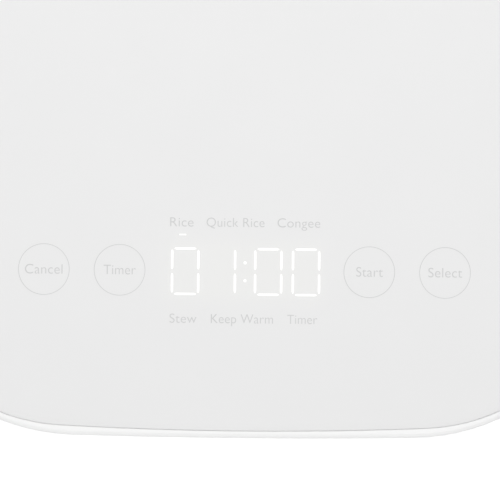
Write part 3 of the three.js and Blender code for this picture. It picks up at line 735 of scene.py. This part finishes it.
def lid_electronics():
    x, y, (low, high) = span("control_board")
    holes = [post(hx, hy, (180, 200), 1.6, 24) for hx in BOARD_X for hy in BOARD_Y]
    board = cut(box(x, y, (low, high)), *holes)
    show(board, "control_board", bevel=0.1, segments=2)
    rng = random.Random(7)
    for k in range(8):
        cx, cy = rng.uniform(-60, 60), rng.uniform(-84, -76)
        wide = rng.uniform(2, 5)
        chip = box((cx - wide, cx + wide), (cy - 1.6, cy + 1.6), (low - 2.2, low - GAP))
        extra(chip, f"control_board_chip_{k + 1}", "lid", "black_plastic", 0.2)
    (x0, x1), (y0, y1), (z0, z1) = DISPLAY_X, DISPLAY_Y, DISPLAY_Z
    body = box((x0, x1), (y0, y1), (z0, z1 - 1))
    window = box((x0 + 1.5, x1 - 1.5), (y0 + 1.5, y1 - 1.5), (z1 - 1.2, z1))
    show(join(body, window), "led_display", bevel=0.3)
    for k, cx in enumerate(KEY_X):
        z0, z1 = span(f"touch_spring_{k + 1}")[2]
        spring = coil((cx, KEY_Y, z0 + 0.4), "z", z1 - z0 - 0.8, 4.2, 3, 0.4)
        show(spring, f"touch_spring_{k + 1}", bevel=0, look="bright_steel")


HARNESS_R = 2.2


def lid_harness():
    route = [(60, -76, 188.6), (61, -50, 180), (62, 0, 174), (61, 60, 176), (60, 103, 187)]
    show(sweep(smooth_path(route, 12), HARNESS_R, sides=20), "lid_harness", bevel=0)


# ------ what is printed and lit on the panel


PRINT_Z = (PANEL_TOP + 0.01, PANEL_TOP + 0.035)
KEY_RADIUS = 8.38
KEY_LINE = 0.2


def key_rings():
    for k, x in enumerate(KEY_X):
        low, high = PRINT_Z
        inner, outer = KEY_RADIUS - KEY_LINE / 2, KEY_RADIUS + KEY_LINE / 2
        ring = turned([(inner, low), (outer, low), (outer, high), (inner, high)], (x, KEY_Y), segments=160)
        extra(ring, f"key_ring_{k + 1}", "lid", "print_grey")


def word(name, text, x, y, width, cap_height):
    """A generic function word in a plain face. x is the word's middle and y its baseline."""
    curve = bpy.data.curves.new("word", "FONT")
    curve.body = text
    curve.align_x = "CENTER"
    curve.size = cap_height * MM / 0.7
    curve.extrude = 0.012 * MM
    curve.offset = -0.008 * curve.size
    curve.space_character = 1.02
    obj = bpy.data.objects.new("word", curve)
    bpy.context.scene.collection.objects.link(obj)
    bpy.context.view_layer.update()
    mesh = bpy.data.meshes.new_from_object(obj.evaluated_get(bpy.context.evaluated_depsgraph_get()))
    bpy.data.objects.remove(obj)
    lefts = [v.co.x for v in mesh.vertices]
    stretch = width * MM / (max(lefts) - min(lefts))
    mesh.transform(Matrix.Diagonal((stretch, 1, 1, 1)))
    mesh.transform(Matrix.Translation((x * MM, y * MM, (PRINT_Z[0] + 0.012) * MM)))
    made = bpy.data.objects.new("word", mesh)
    bpy.context.scene.collection.objects.link(made)
    extra(made, name, "lid", "print_grey")


def panel_words():
    row_1, row_2 = KEY_Y + 14.5, KEY_Y - 17.3
    for text, x, y, width in (
        ("Rice", -20.9, row_1, 7.7),
        ("Quick Rice", -3.1, row_1, 19.1),
        ("Congee", 17.8, row_1, 14.1),
        ("Stew", -20.2, row_2, 8.9),
        ("Keep Warm", -0.7, row_2, 20.5),
        ("Timer", 19.2, row_2, 9.9),
    ):
        word("function_" + text.lower().replace(" ", "_"), text, x, y, width, 3.1)
    for text, x, width in zip(("Cancel", "Timer", "Start", "Select"), KEY_X, (12.4, 10.6, 8.8, 11.2)):
        word("key_" + text.lower(), text, x, KEY_Y - 1.5, width, 3.25)


DIGIT_Y = KEY_Y - 0.25  # the digits sit a little lower than the keys
DIGIT_X = (-19.55, -7.44, 7.85, 20.33)
BAR = 0.74  # width of a lit bar
DOT_R = 0.48


def bar(x, y, half, upright):
    """A lit bar with tapered ends, centred on x and y."""
    taper, wide, tip = 0.6, BAR / 2, BAR / 5
    along = [(half, -tip), (half, tip), (half - taper, wide), (taper - half, wide)]
    along += [(-half, tip), (-half, -tip), (taper - half, -wide), (half - taper, -wide)]
    points = [(x + b, y + a) if upright else (x + a, y - b) for a, b in along]
    return stacked([[(px, py, z) for px, py in points] for z in PRINT_Z])


def dot(x, y):
    low, high = PRINT_Z
    return turned([(0, low), (DOT_R, low), (DOT_R, high), (0, high)], (x, y), segments=40)


def lit(obj, name):
    extra(obj, name, "lid", "display_light")


def lit_digits():
    """A clock reading of 01:00, made of thin lit bars."""
    side_x, half_y, end_y = 4.32, 3.85, 7.5
    for place, (digit, x) in enumerate(zip("0100", DIGIT_X)):
        bars = []
        for side in (1,) if digit == "1" else (-1, 1):
            for level in (-1, 1):
                bars.append(bar(x + side * side_x, DIGIT_Y + level * half_y, 3.2, True))
        if digit == "0":
            bars += [bar(x, DIGIT_Y + level * end_y, 3.55, False) for level in (-1, 1)]
        lit(merged(bars), f"lit_digit_{place + 1}")
    lit(merged([dot(0.2, DIGIT_Y + level * 2.95) for level in (-1, 1)]), "lit_colon")
    lit(box((-21.6, -19.3), (KEY_Y + 11.63, KEY_Y + 12.07), PRINT_Z), "lit_indicator")


# ------ inner lid, seals and clip


INNER_LID_R, INNER_LID_THICK = 112, 1.2


def inner_lid():
    """A pressed disc: a raised middle, a shallow bead near the edge and a row of steam holes."""
    z = span("inner_lid")[2][0]
    r = INNER_LID_R
    middle_rise = [(0, 3.4), (34, 3.4), (36, 3.25), (38, 2.6), (42, 0.7), (44, 0.1), (46, 0)]
    bead = [(90, 0), (91, 0.35), (92.5, 0.5), (94, 0.35), (95, 0)]
    edge = [(r - 1, 0), (r - 0.2, 0.25), (r, 0.7)]
    under = [(at, z + rise) for at, rise in middle_rise + bead + edge]
    over = [(at - (0.5 if at > r - 1 else 0), up + INNER_LID_THICK) for at, up in reversed(under)]
    disc = turned(under + over[1:], (0, POT_Y), segments=160)
    holes = [post(x, VALVE_Y - abs(x) * 0.3, (150, 170), 1.3, 24) for x in range(-8, 9, 4)]
    show(cut(disc, *holes), "inner_lid", bevel=0)


def lid_seals():
    low, top = span("lid_gasket")[2]
    lip = [(104, low + 0.5), (104.5, low + 0.05), (105.6, low), (107, low + 0.1), (107.7, low + 0.8)]
    wall = [(108.2, low + 1.9), (108.9, low + 3.2), (109, top - 0.4), (108.6, top)]
    inside = [(102, top), (101.6, top - 0.4), (101.6, top - 1.7), (102, top - 2.2)]
    inside += [(103.2, top - 2.9), (103.8, top - 4.0)]
    show(turned(lip + wall + inside, (0, POT_Y), segments=192), "lid_gasket", bevel=0)
    low, top = span("steam_duct_seal")[2]
    outside = [(8.6, low), (12, low), (12.4, low + 0.4), (11.2, low + 2.5), (11.4, top - 2)]
    rim = [(12.4, top - 0.3), (12, top), (9.6, top), (9.3, top - 0.3), (8.6, low + 2.5)]
    bell = turned(outside + rim, (VALVE_X, VALVE_Y), segments=72)
    show(bell, "steam_duct_seal", bevel=0)


def inner_lid_clip():
    (x0, x1), (y0, y1), (z0, z1) = span("inner_lid_clip")
    block = box((x0, x1), (y0, y0 + 4.4), (z0, z1))
    nose = box((x0, x1), (y0 + 4.3, y1), (z0 + 0.1, z0 + 1.7))
    grips = []
    for k in range(3):
        at = y0 + 0.9 + 1.3 * k
        grips.append(box((x0 + 3, x1 - 3), (at, at + 0.5), (z0 - 1, z0 + 0.4)))
    show(cut(join(block, nose), *grips), "inner_lid_clip", bevel=0.3)
    _, (y0, y1), z = span("clip_spring")
    spring = coil((0, y0 + 0.4, middle(z)), "y", y1 - y0 - 0.8, 2.2, 2.5, 0.4)
    show(spring, "clip_spring", bevel=0, look="bright_steel")


# ------ steam valve


def steam_valve():
    steam_valve_cup()
    low, top = span("steam_valve_cap")[2]
    r, round_r = VALVE_CAP_R, 1.1
    angles = [math.pi / 2 * k / 8 for k in range(9)]
    edge = [(r - round_r + round_r * math.cos(a), top - round_r + round_r * math.sin(a)) for a in angles]
    dish = [(19, top), (17.5, top - 0.05), (16, top - 0.35), (14.5, top - 0.7), (0, top - 0.7)]
    disc = turned([(0, low), (r - 0.6, low), (r, low + 0.6)] + edge + dish, (VALVE_X, VALVE_Y))
    slots = [slot(VALVE_X, VALVE_Y + k * 5.4, 11 - abs(k) * 1.5, 1.2, OVER) for k in (-2, -1, 0, 1, 2)]
    show(cut(disc, *slots), "steam_valve_cap", bevel=0.2)


def steam_valve_cup():
    low, high = span("steam_valve_cup")[2]
    r, floor, wall = 24.0, 170.6, 1.5
    stem = [(5.8, low), (7.0, low), (7.2, low + 0.3), (7.2, floor)]
    outside = [(r - wall, floor), (r - 0.4, floor + 0.5), (r, floor + 1.6)]
    outside += [(r, high - 0.3), (r - 0.3, high)]
    inside = [(r - 1.2, high), (r - wall, high - 0.3), (r - wall, floor + 3), (r - 2.6, floor + 1.6)]
    cup = turned(stem + outside + inside + [(5.8, floor + wall)], (VALVE_X, VALVE_Y))
    show(cup, "steam_valve_cup", bevel=0)


# ------ body


BUTTON_Z, BUTTON_HALF = 132.0, (21.5, 6.7)
INLET_HALF, INLET_WALL = (12.2, 8.5), 2.4
SCREW_HOLE_R = 1.8
FEET = ("foot_front_left", "foot_front_right", "foot_rear_left", "foot_rear_right")
SCREWS = [f"base_screw_{k}" for k in (1, 2, 3, 4)]


def body_shell():
    bottom, top = SHELL_Z
    outside = [(bottom, 14)] + quarter(bottom, 0, 10, 10, -1, 12)
    shadow_line = [(24, 0), (24.4, 0.35), (25.2, 0.35), (25.6, 0)]
    outside += shadow_line + [(top - 0.4, 0), (top, 0.4)]
    inside = [(top, WALL), (24, WALL), (15, 3.2), (11.3, 6.5), (11.3, 20), (8.3, 20), (8.3, 14)]
    shell = loft(OUTER, outside + inside, closed=True)
    hole = pill(BUTTON_HALF[0] + GAP, BUTTON_HALF[1] + GAP, BUTTON_Z, (FRONT - 1, FRONT + 6))
    x, _, z = span("power_inlet")
    half_x, half_z = (half + INLET_WALL + GAP for half in INLET_HALF)
    x_ends = (middle(x) - half_x, middle(x) + half_x)
    z_ends = (middle(z) - half_z, middle(z) + half_z)
    socket = box(x_ends, (REAR - 6, REAR + 1), z_ends)
    screws = [post(*plan_middle(screw), (bottom - 1, 12), SCREW_HOLE_R, 24) for screw in SCREWS]
    shell = cut(shell, hole, socket, *screws)
    show(shell, "body_shell", bevel=0.25)


def base_plate():
    low = SHELL_Z[0]
    plate = loft(OUTER, [(low, 14.3), (8, 14.3)])
    vents = [slot(k * 13, POT_Y, 36, 2, UNDER, upright=True) for k in range(-3, 4)]
    holes = [post(*plan_middle(foot), UNDER, 4.3) for foot in FEET]
    holes += [post(*plan_middle(screw), UNDER, SCREW_HOLE_R, 24) for screw in SCREWS]
    plate = cut(plate, *vents, *holes)
    (x0, x1), (y0, y1), (z0, _) = span("power_board")
    stands = [post(x, y, (7, z0 - GAP), 3) for x in (x0 + 4, x1 - 4) for y in (y0 + 4, y1 - 4)]
    show(join(plate, *stands), "base_plate", bevel=0.25)


def feet_and_screws():
    under = SHELL_Z[0] - GAP
    for foot in FEET:
        (x0, x1), _, (low, high) = span(foot)
        r, stem_r = (x1 - x0) / 2, 4
        pad = [(0, low + 0.4), (r - 4.5, low + 0.4), (r - 4, low), (r - 1.2, low), (r - 0.35, low + 0.35)]
        pad += [(r, low + 1.2), (r, under - 0.5), (r - 0.4, under)]
        stem = [(stem_r, under), (stem_r, high - 0.4), (stem_r - 0.4, high), (0, high)]
        show(turned(pad + stem, plan_middle(foot), segments=72), foot, bevel=0)
    for name in SCREWS:
        x, y = plan_middle(name)
        low, high = span(name)[2]
        head = [(0, low), (2.2, low), (2.9, low + 0.35), (3.2, low + 0.8), (3.2, under)]
        thread = [(1.5, under), (1.5, high - 0.5), (0, high)]
        screw = turned(head + thread, (x, y), segments=40)
        cross = []
        for half_x, half_y in ((1.5, 0.32), (0.32, 1.5)):
            cross.append(box((x - half_x, x + half_x), (y - half_y, y + half_y), (low - 1, low + 0.9)))
        show(cut(screw, *cross), name, bevel=0)


def deck_ring():
    """The frame between body and lid: a band outside, a skirt in the shell and a step for the pot."""
    bottom, top = SHELL_Z[1] + GAP, DECK_Z[1]
    low, inset = 141, WALL + GAP
    edge = [(top - 0.8, 0.4), (top - 0.25, 0.65), (top, 1.2)]
    band = loft(OUTER, [(bottom, 0.7), (bottom + 0.3, 0.4)] + edge)
    skirt = loft(OUTER, [(low, inset), (bottom + 0.2, inset), (bottom + 0.2, 5), (low, 5)], closed=True)
    seat_z, under, over = POT_Z[1] - 1.5 - GAP, 130, 170
    seat = [(0, under), (104.5, under), (104.5, seat_z), (110, seat_z), (110, top - 0.8)]
    hole = turned(seat + [(110.8, top), (110.8, over), (0, over)], (0, POT_Y), segments=160)
    latch_hole = box((-10.5, 10.5), (-150.5, -131.2), (under, over))
    ring = cut(join(band, skirt), hole)
    ring = cut(ring, latch_hole, post(60, 126, (under, over), 4.5))
    show(ring, "deck_ring", bevel=0.25)


def hinge_cover():
    low, top = span("hinge_cover")[2]
    outside = loft(OUTER, [(low, 0.4), (low + 0.4, 0)] + quarter(top, 0, 1.6, 1.6, 1, 10))
    outside = keep(outside, half_space(COVER_Y, 1))
    inside = keep(loft(OUTER, [(150, WALL), (top - WALL, WALL)]), half_space(COVER_Y + WALL, 1))
    depth = (COVER_Y - 1, COVER_Y + WALL + 1)
    notches = [box((x - 3, x + 3), depth, (150, 158.6)) for x in (-EAR_X, EAR_X)]
    show(cut(cut(outside, inside), *notches), "hinge_cover", bevel=0.4)


def hinge_parts():
    stand, foot_top = DECK_Z[1] + GAP, 158
    for side, x in (("left", -EAR_X), ("right", EAR_X)):
        ends = (x - EAR_HALF, x + EAR_HALF)
        ear = join(box(ends, (107.5, 116.5), (stand, SHAFT_Z)), axle(ends, SHAFT_Y, SHAFT_Z, 4.5))
        foot = box((x - 8, x + 8), (122.5, 133), (stand, foot_top))
        ear = join(ear, box(ends, (107.5, 133), (stand, foot_top)), foot)
        ear = cut(ear, axle((ends[0] - 1, ends[1] + 1), SHAFT_Y, SHAFT_Z, BORE_R))
        show(ear, "hinge_bracket_" + side, bevel=0.3)
        x0, x1 = span("lid_spring_" + side)[0]
        spring = coil((x0 + 0.55, SHAFT_Y, SHAFT_Z), "x", x1 - x0 - 1.1, 3.15, 9, 0.5)
        show(spring, "lid_spring_" + side, bevel=0, look="bright_steel")
    shaft = axle(span("hinge_shaft")[0], SHAFT_Y, SHAFT_Z, SHAFT_R)
    show(shaft, "hinge_shaft", bevel=0.4, look="bright_steel")


# ------ pot, chamber, heater and sensor


POT_R, POT_CORNER, POT_WALL = 103, 40, 1.8
MARK_ANGLE = math.radians(62)


def bowl(inside, bottom, count=24):
    """The rounded corner between the pot's floor and its wall, as (radius, z)."""
    radius = POT_CORNER - inside
    made = []
    for k in range(count + 1):
        a = math.pi / 2 * k / count
        made.append((POT_R - POT_CORNER + radius * math.sin(a), bottom + POT_CORNER - radius * math.cos(a)))
    return made


def inner_pot():
    bottom, top = POT_Z
    flange, wall = top - 1.5, POT_R - POT_WALL
    outer = [(0, bottom)] + bowl(0, bottom)
    outer += [(POT_R, flange - 0.6), (POT_R + 0.5, flange - 0.05), (POT_R + 1, flange)]
    rim = [(108.1, flange), (108.5, flange + 0.4), (108.5, top - 0.4), (108.1, top)]
    inner = [(wall + 1.6, top), (wall + 0.5, top - 0.4), (wall, top - 1.5)]
    inner += bowl(POT_WALL, bottom)[::-1] + [(0, bottom + POT_WALL)]
    pot = turned(outer + rim + inner, (0, POT_Y), segments=192)
    show(pot, "inner_pot", bevel=0)
    water_marks()


def water_marks():
    """A ladder of short level lines on the pot's inner wall, at the rear right."""
    wall, half_line = POT_R - POT_WALL, 0.35
    for k in range(6):
        z = 75 + 13 * k
        half_angle = 0.045 if k % 2 else 0.075
        angles = [MARK_ANGLE + half_angle * (j / 6 - 1) for j in range(13)]
        loop = []
        for r, way in ((wall - 0.14, 1), (wall + 0.05, -1)):
            loop += [(r * math.cos(a), POT_Y + r * math.sin(a)) for a in angles[::way]]
        mark = stacked([[(x, y, at) for x, y in loop] for at in (z - half_line, z + half_line)])
        extra(mark, f"water_mark_{k + 1}", "base", "print_grey")


def chamber():
    pot_liner()
    side_heater()
    heating_plate()
    heater_element()
    x, (y0, y1), z = span("thermal_fuse")
    cx, cz = middle(x), middle(z)
    body = rod((cx, y0 + 2, cz), (cx, y1 - 2, cz), 2.1)
    fuse = join(body, rod((cx, y0, cz), (cx, y1, cz), 0.6, sides=16))
    show(fuse, "thermal_fuse", bevel=0.3)


def pot_liner():
    """The thin steel drum round the pot, with a brim at the top and an open middle in its floor."""
    low, top = span("pot_liner")[2]
    r, wall, floor_r, brim_r = 106.3, 0.8, 74, 112
    outside = [(floor_r, low), (r - 2, low), (r - 0.6, low + 0.6), (r, low + 2), (r, top - 1.6)]
    brim = [(r + 0.8, top - wall), (brim_r, top - wall), (brim_r, top), (r, top)]
    inside = [(r - wall, top - 1.2), (r - wall, low + 2.4), (r - 2.4, low + wall), (floor_r, low + wall)]
    show(turned(outside + brim + inside, (0, POT_Y), segments=160), "pot_liner", bevel=0)


def side_heater():
    """A band round the chamber with shallow grooves."""
    low, top = span("side_heater")[2]
    inner, outer, grooves = 106.7, 107.7, 5
    band = [(inner, low), (outer, low)]
    for k in range(grooves):
        z = low + (top - low) * (k + 0.5) / grooves
        band += [(outer, z - 1), (outer - 0.35, z), (outer, z + 1)]
    band += [(outer, top), (inner, top)]
    show(turned(band, (0, POT_Y)), "side_heater", bevel=0)


def heating_plate():
    low, top = span("heating_plate")[2]
    bore = 14.7
    under = [(bore, low), (68, low), (68, low + 3.1)]
    flange = [(79, low + 3.1), (80, low + 3.8), (80, low + 4.8), (79, low + 5.5), (73, low + 6.3)]
    face = [(71, low + 8), (70.4, top - 0.6), (69.6, top), (64, top - 0.25), (62, top - 0.3)]
    plate = under + flange + face + [(bore + 0.5, top - 0.3), (bore, top - 0.8)]
    show(turned(plate, (0, POT_Y), segments=160), "heating_plate", bevel=0)


def heater_element():
    """A rod bent nearly to a full circle, with both ends turned out towards the rear."""
    radius, gap_angle, z, count = 48, 0.16, 16, 48
    ring = []
    for k in range(count + 1):
        a = math.pi / 2 + gap_angle + (2 * math.pi - 2 * gap_angle) * k / count
        ring.append((radius * math.cos(a), POT_Y + radius * math.sin(a), z))
    start = [(-7.6, POT_Y + 60, 13.5), (-7.7, POT_Y + 55, 14.8)]
    end = [(-x, y, height) for x, y, height in reversed(start)]
    show(sweep(start + ring + end, 3.2, sides=20), "heater_element", bevel=0)


def pot_sensor():
    centre = (0, POT_Y)
    low, top = span("sensor_cap")[2]
    face = [(0, top - 0.15), (4, top - 0.05), (11.6, top), (13, top - 0.3), (13.7, top - 0.9)]
    face.append((14, top - 2))
    skirt = [(14, 17), (14.4, 16.5), (16, 16.5), (16.3, 16.2), (16.3, low), (12.6, low)]
    inside = [(12.6, top - 2.6), (12, top - 2), (0, top - 2)]
    show(turned(face + skirt + inside, centre, segments=96), "sensor_cap", bevel=0)
    low, top = span("sensor_thermistor")[2]
    bead = [(0, low), (3, low), (3.7, low + 0.3), (4, low + 1), (4, top - 0.3), (3.7, top), (0, top)]
    show(turned(bead, centre, segments=48), "sensor_thermistor", bevel=0)
    low, top = span("sensor_bracket")[2]
    outside = [(0, low), (18.2, low), (19, low + 0.8), (19, top - 0.3), (18.7, top), (18.1, top)]
    inside = [(17.8, top - 0.3), (17.8, low + 1.8), (17.2, low + 1.2), (0, low + 1.2)]
    show(turned(outside + inside, centre, segments=96), "sensor_bracket", bevel=0)
    low, top = span("sensor_spring")[2]
    spring = coil((0, POT_Y, low + 0.7), "z", top - low - 1.4, 9.5, 5, 0.6)
    show(spring, "sensor_spring", bevel=0, look="bright_steel")


# ------ electrics in the base


def power_electronics():
    show(box(*span("power_board")), "power_board", bevel=0.1, segments=2)
    x, y, (z0, z1) = span("power_transformer")
    (x0, x1), (y0, y1) = x, y
    core = box((x0 + 2, x1 - 2), (y0 + 2, y1 - 2), (z0 + 3.9, z1 - 3.9))
    body = join(box(x, y, (z0, z0 + 4)), core, box(x, y, (z1 - 4, z1)))
    show(body, "power_transformer", bevel=0.5)
    show(box(*span("power_relay")), "power_relay", bevel=0.7)
    z0, z1 = span("filter_capacitor")[2]
    can = [(0, z0), (7.6, z0), (8, z0 + 0.4), (8, z0 + 1.6), (7.7, z0 + 2.1), (8, z0 + 2.6)]
    can += [(8, z1 - 0.9), (7.4, z1 - 0.2), (6.4, z1), (0, z1 - 0.2)]
    capacitor = turned(can, plan_middle("filter_capacitor"), segments=72)
    show(capacitor, "filter_capacitor", bevel=0)


def power_inlet():
    x, (y0, y1), z = span("power_inlet")
    cx, cz = middle(x), middle(z)
    shell_inside = REAR - WALL - GAP

    def square(grow, y, round_r=2.0):
        points = rounded_rectangle(cx, cz, INLET_HALF[0] + grow, INLET_HALF[1] + grow, round_r)
        return stacked([[(px, at, pz) for px, pz in points] for at in y])

    block = join(square(INLET_WALL, (y0, y1), 3), square(6, (shell_inside - 3, shell_inside - 0.4), 3))
    block = cut(block, square(0, (REAR - 17.5, REAR + 1)))
    pins = [span("inlet_pin_" + name) for name in ("line", "earth", "neutral")]
    holes = []
    for (px0, px1), _, (pz0, pz1) in pins:
        holes.append(box((px0 - 0.3, px1 + 0.3), (100, REAR), (pz0 - 0.3, pz1 + 0.3)))
    show(cut(block, *holes), "power_inlet", bevel=0.3)
    for name, pin in zip(("line", "earth", "neutral"), pins):
        show(box(*pin), "inlet_pin_" + name, bevel=0.5)


def rounded_rectangle(cx, cz, half_x, half_z, r, steps=6):
    points = []
    for k, (sx, sz) in enumerate(((1, 1), (-1, 1), (-1, -1), (1, -1))):
        corner_x, corner_z = cx + sx * (half_x - r), cz + sz * (half_z - r)
        for j in range(steps + 1):
            a = math.pi / 2 * (k + j / steps)
            points.append((corner_x + r * math.cos(a), corner_z + r * math.sin(a)))
    return points


def body_harness():
    """The bundle from the power board up behind the chamber and out through the hinge cover."""
    upper = [(60, 127, 190), (60, 126, 170), (60, 126, 150), (60, 125, 110)]
    lower = [(61, 122, 60), (62, 120, 30), (62, 119, 17)]
    route = smooth_path(upper + lower, 10)
    show(sweep(route, HARNESS_R, sides=20), "body_harness", bevel=0)


# ------ button and latch


def release_button():
    half_x, half_z = BUTTON_HALF
    inner = FRONT + WALL + GAP  # where the flange behind the shell's wall starts
    face = pill(half_x, half_z, BUTTON_Z, (FRONT + 0.2, inner + 0.2))
    flange = pill(24, 8.5, BUTTON_Z, (inner + 0.1, FRONT + 4.4))
    stem = box((-4, 4), (FRONT + 4.3, -143.6), (BUTTON_Z, BUTTON_Z + 6))
    show(join(join(face, flange), stem), "release_button", bevel=0.35)


PIN_R, PIN_BORE_R = 1.6, 1.9


def latch():
    pivot_y, pivot_z = (middle(pair) for pair in span("latch_pin")[1:])
    latch_hook(pivot_y, pivot_z)
    pin = axle(span("latch_pin")[0], pivot_y, pivot_z, PIN_R)
    show(pin, "latch_pin", bevel=0.3, look="bright_steel")
    sides = [box(x, (-143.5, -130.9), (104, 118)) for x in ((8, 10), (-10, -8))]
    bracket = join(box((-10, 10), (-131, -129.5), (104, 146.8)), *sides)
    bracket = cut(bracket, axle((-12, 12), pivot_y, pivot_z, PIN_BORE_R))
    show(bracket, "latch_bracket", bevel=0.3)
    _, (y0, y1), z = span("latch_spring")
    spring = coil((0, y0 + 0.5, middle(z)), "y", y1 - y0 - 1.0, 3, 3, 0.45)
    show(spring, "latch_spring", bevel=0, look="bright_steel")


def latch_hook(pivot_y, pivot_z):
    """An arm up from the pin, with a sloped nose that catches the striker."""
    x, arm_y, top = span("latch_hook")[0], (-143.3, -138), 155.6
    arm = join(box(x, arm_y, (pivot_z, 154.6)), axle(x, pivot_y, pivot_z, 4))
    nose = [(-149.4, 151.4), (-143.2, 151.4), (-143.2, top), (-145.5, top), (-149.4, 152.9)]
    hook = join(join(arm, extruded_yz(nose, x)), box(x, arm_y, (154.4, top)))
    hook = cut(hook, axle((x[0] - 1, x[1] + 1), pivot_y, pivot_z, PIN_BORE_R))
    show(hook, "latch_hook", bevel=0.25)


# ------ the studio


LAMPS = (
    # name, place, width of the square lamp in metres, watts
    ("rear", (0, 330, 1350), 1.0, 9.5),
    ("front high", (0, -1700, 2300), 2.6, 5.7),
    ("front", (0, -2200, 1700), 3.0, 21.6),
)
LAMPS_FACE = (0, 0, 120)


def studio():
    scene = bpy.context.scene
    scene.view_settings.view_transform = "Standard"
    world = bpy.data.worlds.new("studio")
    world.use_nodes = True
    background = world.node_tree.nodes["Background"]
    background.inputs["Color"].default_value = (1, 1, 1, 1)
    background.inputs["Strength"].default_value = 0.345
    scene.world = world
    finish = Finish("floor", shade(0.9), 0.6)
    finish.set("Emission Color", (1, 1, 1, 1)).set("Emission Strength", 0.42)
    half = 9000
    corners = [(-half, -half, 0), (half, -half, 0), (half, half, 0), (-half, half, 0)]
    floor = make(corners, [(0, 1, 2, 3)])
    floor.name = "floor"
    floor.location.z = -0.2 * MM
    dress(floor, finish.material)
    for name, place, width, watts in LAMPS:
        lamp = bpy.data.lights.new(name, "AREA")
        lamp.size = width
        lamp.energy = watts
        obj = bpy.data.objects.new(name, lamp)
        obj.location = Vector(place) * MM
        towards = Vector(LAMPS_FACE) * MM - obj.location
        obj.rotation_euler = towards.to_track_quat("-Z", "Y").to_euler()
        scene.collection.objects.link(obj)


VIEW_WIDTH = 165.0  # width of the top plane in view
VIEW_HEIGHT = 1100.0  # camera above the panel
ROLL = 0.0098
AIM = (1.77, 6.95)  # from the middle of the key row to the middle of the view


def camera():
    data = bpy.data.cameras.new("camera")
    data.lens = data.sensor_width * VIEW_HEIGHT / VIEW_WIDTH
    data.clip_end = 50
    obj = bpy.data.objects.new("camera", data)
    obj.location = Vector((AIM[0], KEY_Y + AIM[1], PANEL_TOP + VIEW_HEIGHT)) * MM
    obj.rotation_euler = (0, 0, ROLL)
    bpy.context.scene.collection.objects.link(obj)
    bpy.context.scene.camera = obj


LID_BUILDERS = (
    lid_shell, lid_panel, lid_liner, lid_striker, lid_electronics, lid_harness, key_rings, panel_words,
    lit_digits, inner_lid, lid_seals, inner_lid_clip, steam_valve,
)
BODY_BUILDERS = (
    body_shell, base_plate, feet_and_screws, deck_ring, hinge_cover, hinge_parts, inner_pot, chamber,
    pot_sensor, power_electronics, power_inlet, body_harness, release_button, latch,
)

camera()
studio()
for build in LID_BUILDERS + BODY_BUILDERS:
    build()
